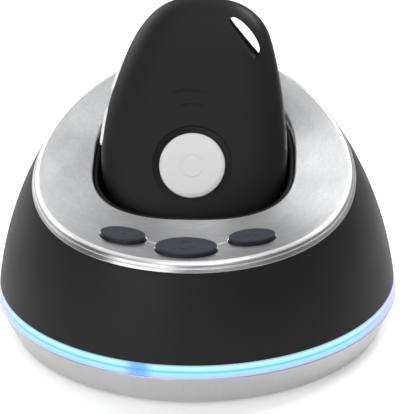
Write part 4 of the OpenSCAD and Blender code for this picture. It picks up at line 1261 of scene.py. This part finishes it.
def make_stage():
    """A plain pale floor that keeps the object's shadow."""
    mesh = bpy.data.meshes.new("Floor")
    size = 3.0
    mesh.from_pydata([(-size, -size, 0), (size, -size, 0), (size, size, 0), (-size, size, 0)], [], [(0, 1, 2, 3)])
    floor = bpy.data.objects.new("Floor", mesh)
    bpy.context.scene.collection.objects.link(floor)
    n = Nodes("floor_white")
    path = n.add("ShaderNodeLightPath")
    seen = n.maths("MAXIMUM", path.outputs["Is Camera Ray"], path.outputs["Is Glossy Ray"])
    n.done(
        Base_Color=(0.9, 0.9, 0.9, 1), Roughness=0.9, Specular_IOR_Level=0.1, Emission_Color=(1, 1, 1, 1),
        Emission_Strength=n.maths("MULTIPLY", seen, FLOOR_GLOW),
    )
    mesh.materials.append(n.material)


# How much the floor shines for the camera and in reflections
FLOOR_GLOW = 0.27
# The studio round the object, for its reflections: strengths at the horizon and overhead
WORLD = (0.05, 0.2)
# Soft boxes on a sphere round the object: a direction's X and Y, the box's side and its power
LAMP_REACH = 0.75
LAMPS = {
    "Front_low": (-0.489, -0.847, 0.5, 2.34), "Front_high": (0, -0.5, 0.4, 1.42),
    "Front_right": (0.424, -0.734, 0.4, 0.21), "Left": (-0.79, 0.24, 0.4, 1.1),
    "Rear_left": (-0.42, 0.55, 0.1, 0.15), "High_left": (-0.28, 0.3, 0.1, 0.03),
    "Rear_right": (0.42, 0.55, 0.1, 1.65), "Right": (0.56, 0.3, 0.1, 1.0),
    "Far_right": (0.56, 0.55, 0.1, 0.4), "Shoulder": (-0.62, 0.62, 0.4, 2.2),
    "High_right": (0.42, 0.3, 0.1, 0.32), "Top_right": (0.28, -0.2, 0.1, 0.15),
    "Top_middle": (0.14, -0.2, 0.1, 0.08), "Top": (0.14, 0.05, 0.1, 0.113),
    "Top_centre": (0, 0.05, 0.1, 0.041), "Back_left": (-0.28, 0.55, 0.1, 0.046),
    "Back": (-0.14, 0.55, 0.1, 0.022), "Back_centre": (0, 0.55, 0.1, 0.019),
    "Back_low": (-0.14, 0.75, 0.1, 0.018),
}


def make_world():
    world = bpy.data.worlds.new("Studio")
    bpy.context.scene.world = world
    world.use_nodes = True
    tree = world.node_tree
    shade = tree.nodes["Background"]
    shade.inputs["Color"].default_value = (1, 1, 1, 1)
    coords = tree.nodes.new("ShaderNodeTexCoord")
    split = tree.nodes.new("ShaderNodeSeparateXYZ")
    tree.links.new(coords.outputs["Generated"], split.inputs["Vector"])
    height = tree.nodes.new("ShaderNodeMapRange")
    height.interpolation_type = "SMOOTHSTEP"
    for name, value in zip(("To Min", "To Max"), WORLD):
        height.inputs[name].default_value = value
    tree.links.new(split.outputs["Z"], height.inputs["Value"])
    path = tree.nodes.new("ShaderNodeLightPath")
    seen = tree.nodes.new("ShaderNodeMapRange")
    seen.inputs["To Max"].default_value = 1.0
    tree.links.new(path.outputs["Is Camera Ray"], seen.inputs["Value"])
    tree.links.new(height.outputs["Result"], seen.inputs["To Min"])
    tree.links.new(seen.outputs["Result"], shade.inputs["Strength"])


def make_lights():
    middle = Vector((0, 0, 0.03))
    for name, (x, y, side, power) in LAMPS.items():
        data = bpy.data.lights.new(name, "AREA")
        data.shape = "SQUARE"
        data.size = side
        data.energy = power
        lamp = bpy.data.objects.new(name, data)
        bpy.context.scene.collection.objects.link(lamp)
        away = Vector((x, y, math.sqrt(1 - x * x - y * y)))
        lamp.location = middle + away * LAMP_REACH
        lamp.rotation_euler = away.to_track_quat("Z", "Y").to_euler()


def make_camera():
    """The photograph's viewpoint: a long lens in front, a little to the right and above."""
    rise, side, roll = math.radians(24.18), math.radians(3.47), math.radians(-0.6)
    target = Vector((0.92, 0, 28.55)) * MM
    back = Vector((math.sin(side) * math.cos(rise), -math.cos(side) * math.cos(rise), math.sin(rise)))
    right = Vector((0, 0, 1)).cross(back).normalized()
    up = back.cross(right)
    right_rolled = right * math.cos(roll) + up * math.sin(roll)
    up_rolled = -right * math.sin(roll) + up * math.cos(roll)
    data = bpy.data.cameras.new("Camera")
    data.sensor_width = 36
    data.lens = 1772.2 / 414 * 36
    camera = bpy.data.objects.new("Camera", data)
    bpy.context.scene.collection.objects.link(camera)
    matrix = Matrix((right_rolled, up_rolled, back)).transposed().to_4x4()
    matrix.translation = target + back * 0.430
    camera.matrix_world = matrix
    bpy.context.scene.camera = camera


make_camera()
make_base_ring()
make_light_guide()
make_dome()
make_top_plate()
make_trim()
make_pocket()
for each_button in BUTTONS:
    make_call_button(each_button)
make_pendant()
make_sos_button()
make_side_keys()
make_power_inlet()
dress_nodes()
make_stage()
make_world()
make_lights()
bpy.context.scene.view_settings.view_transform = "Standard"
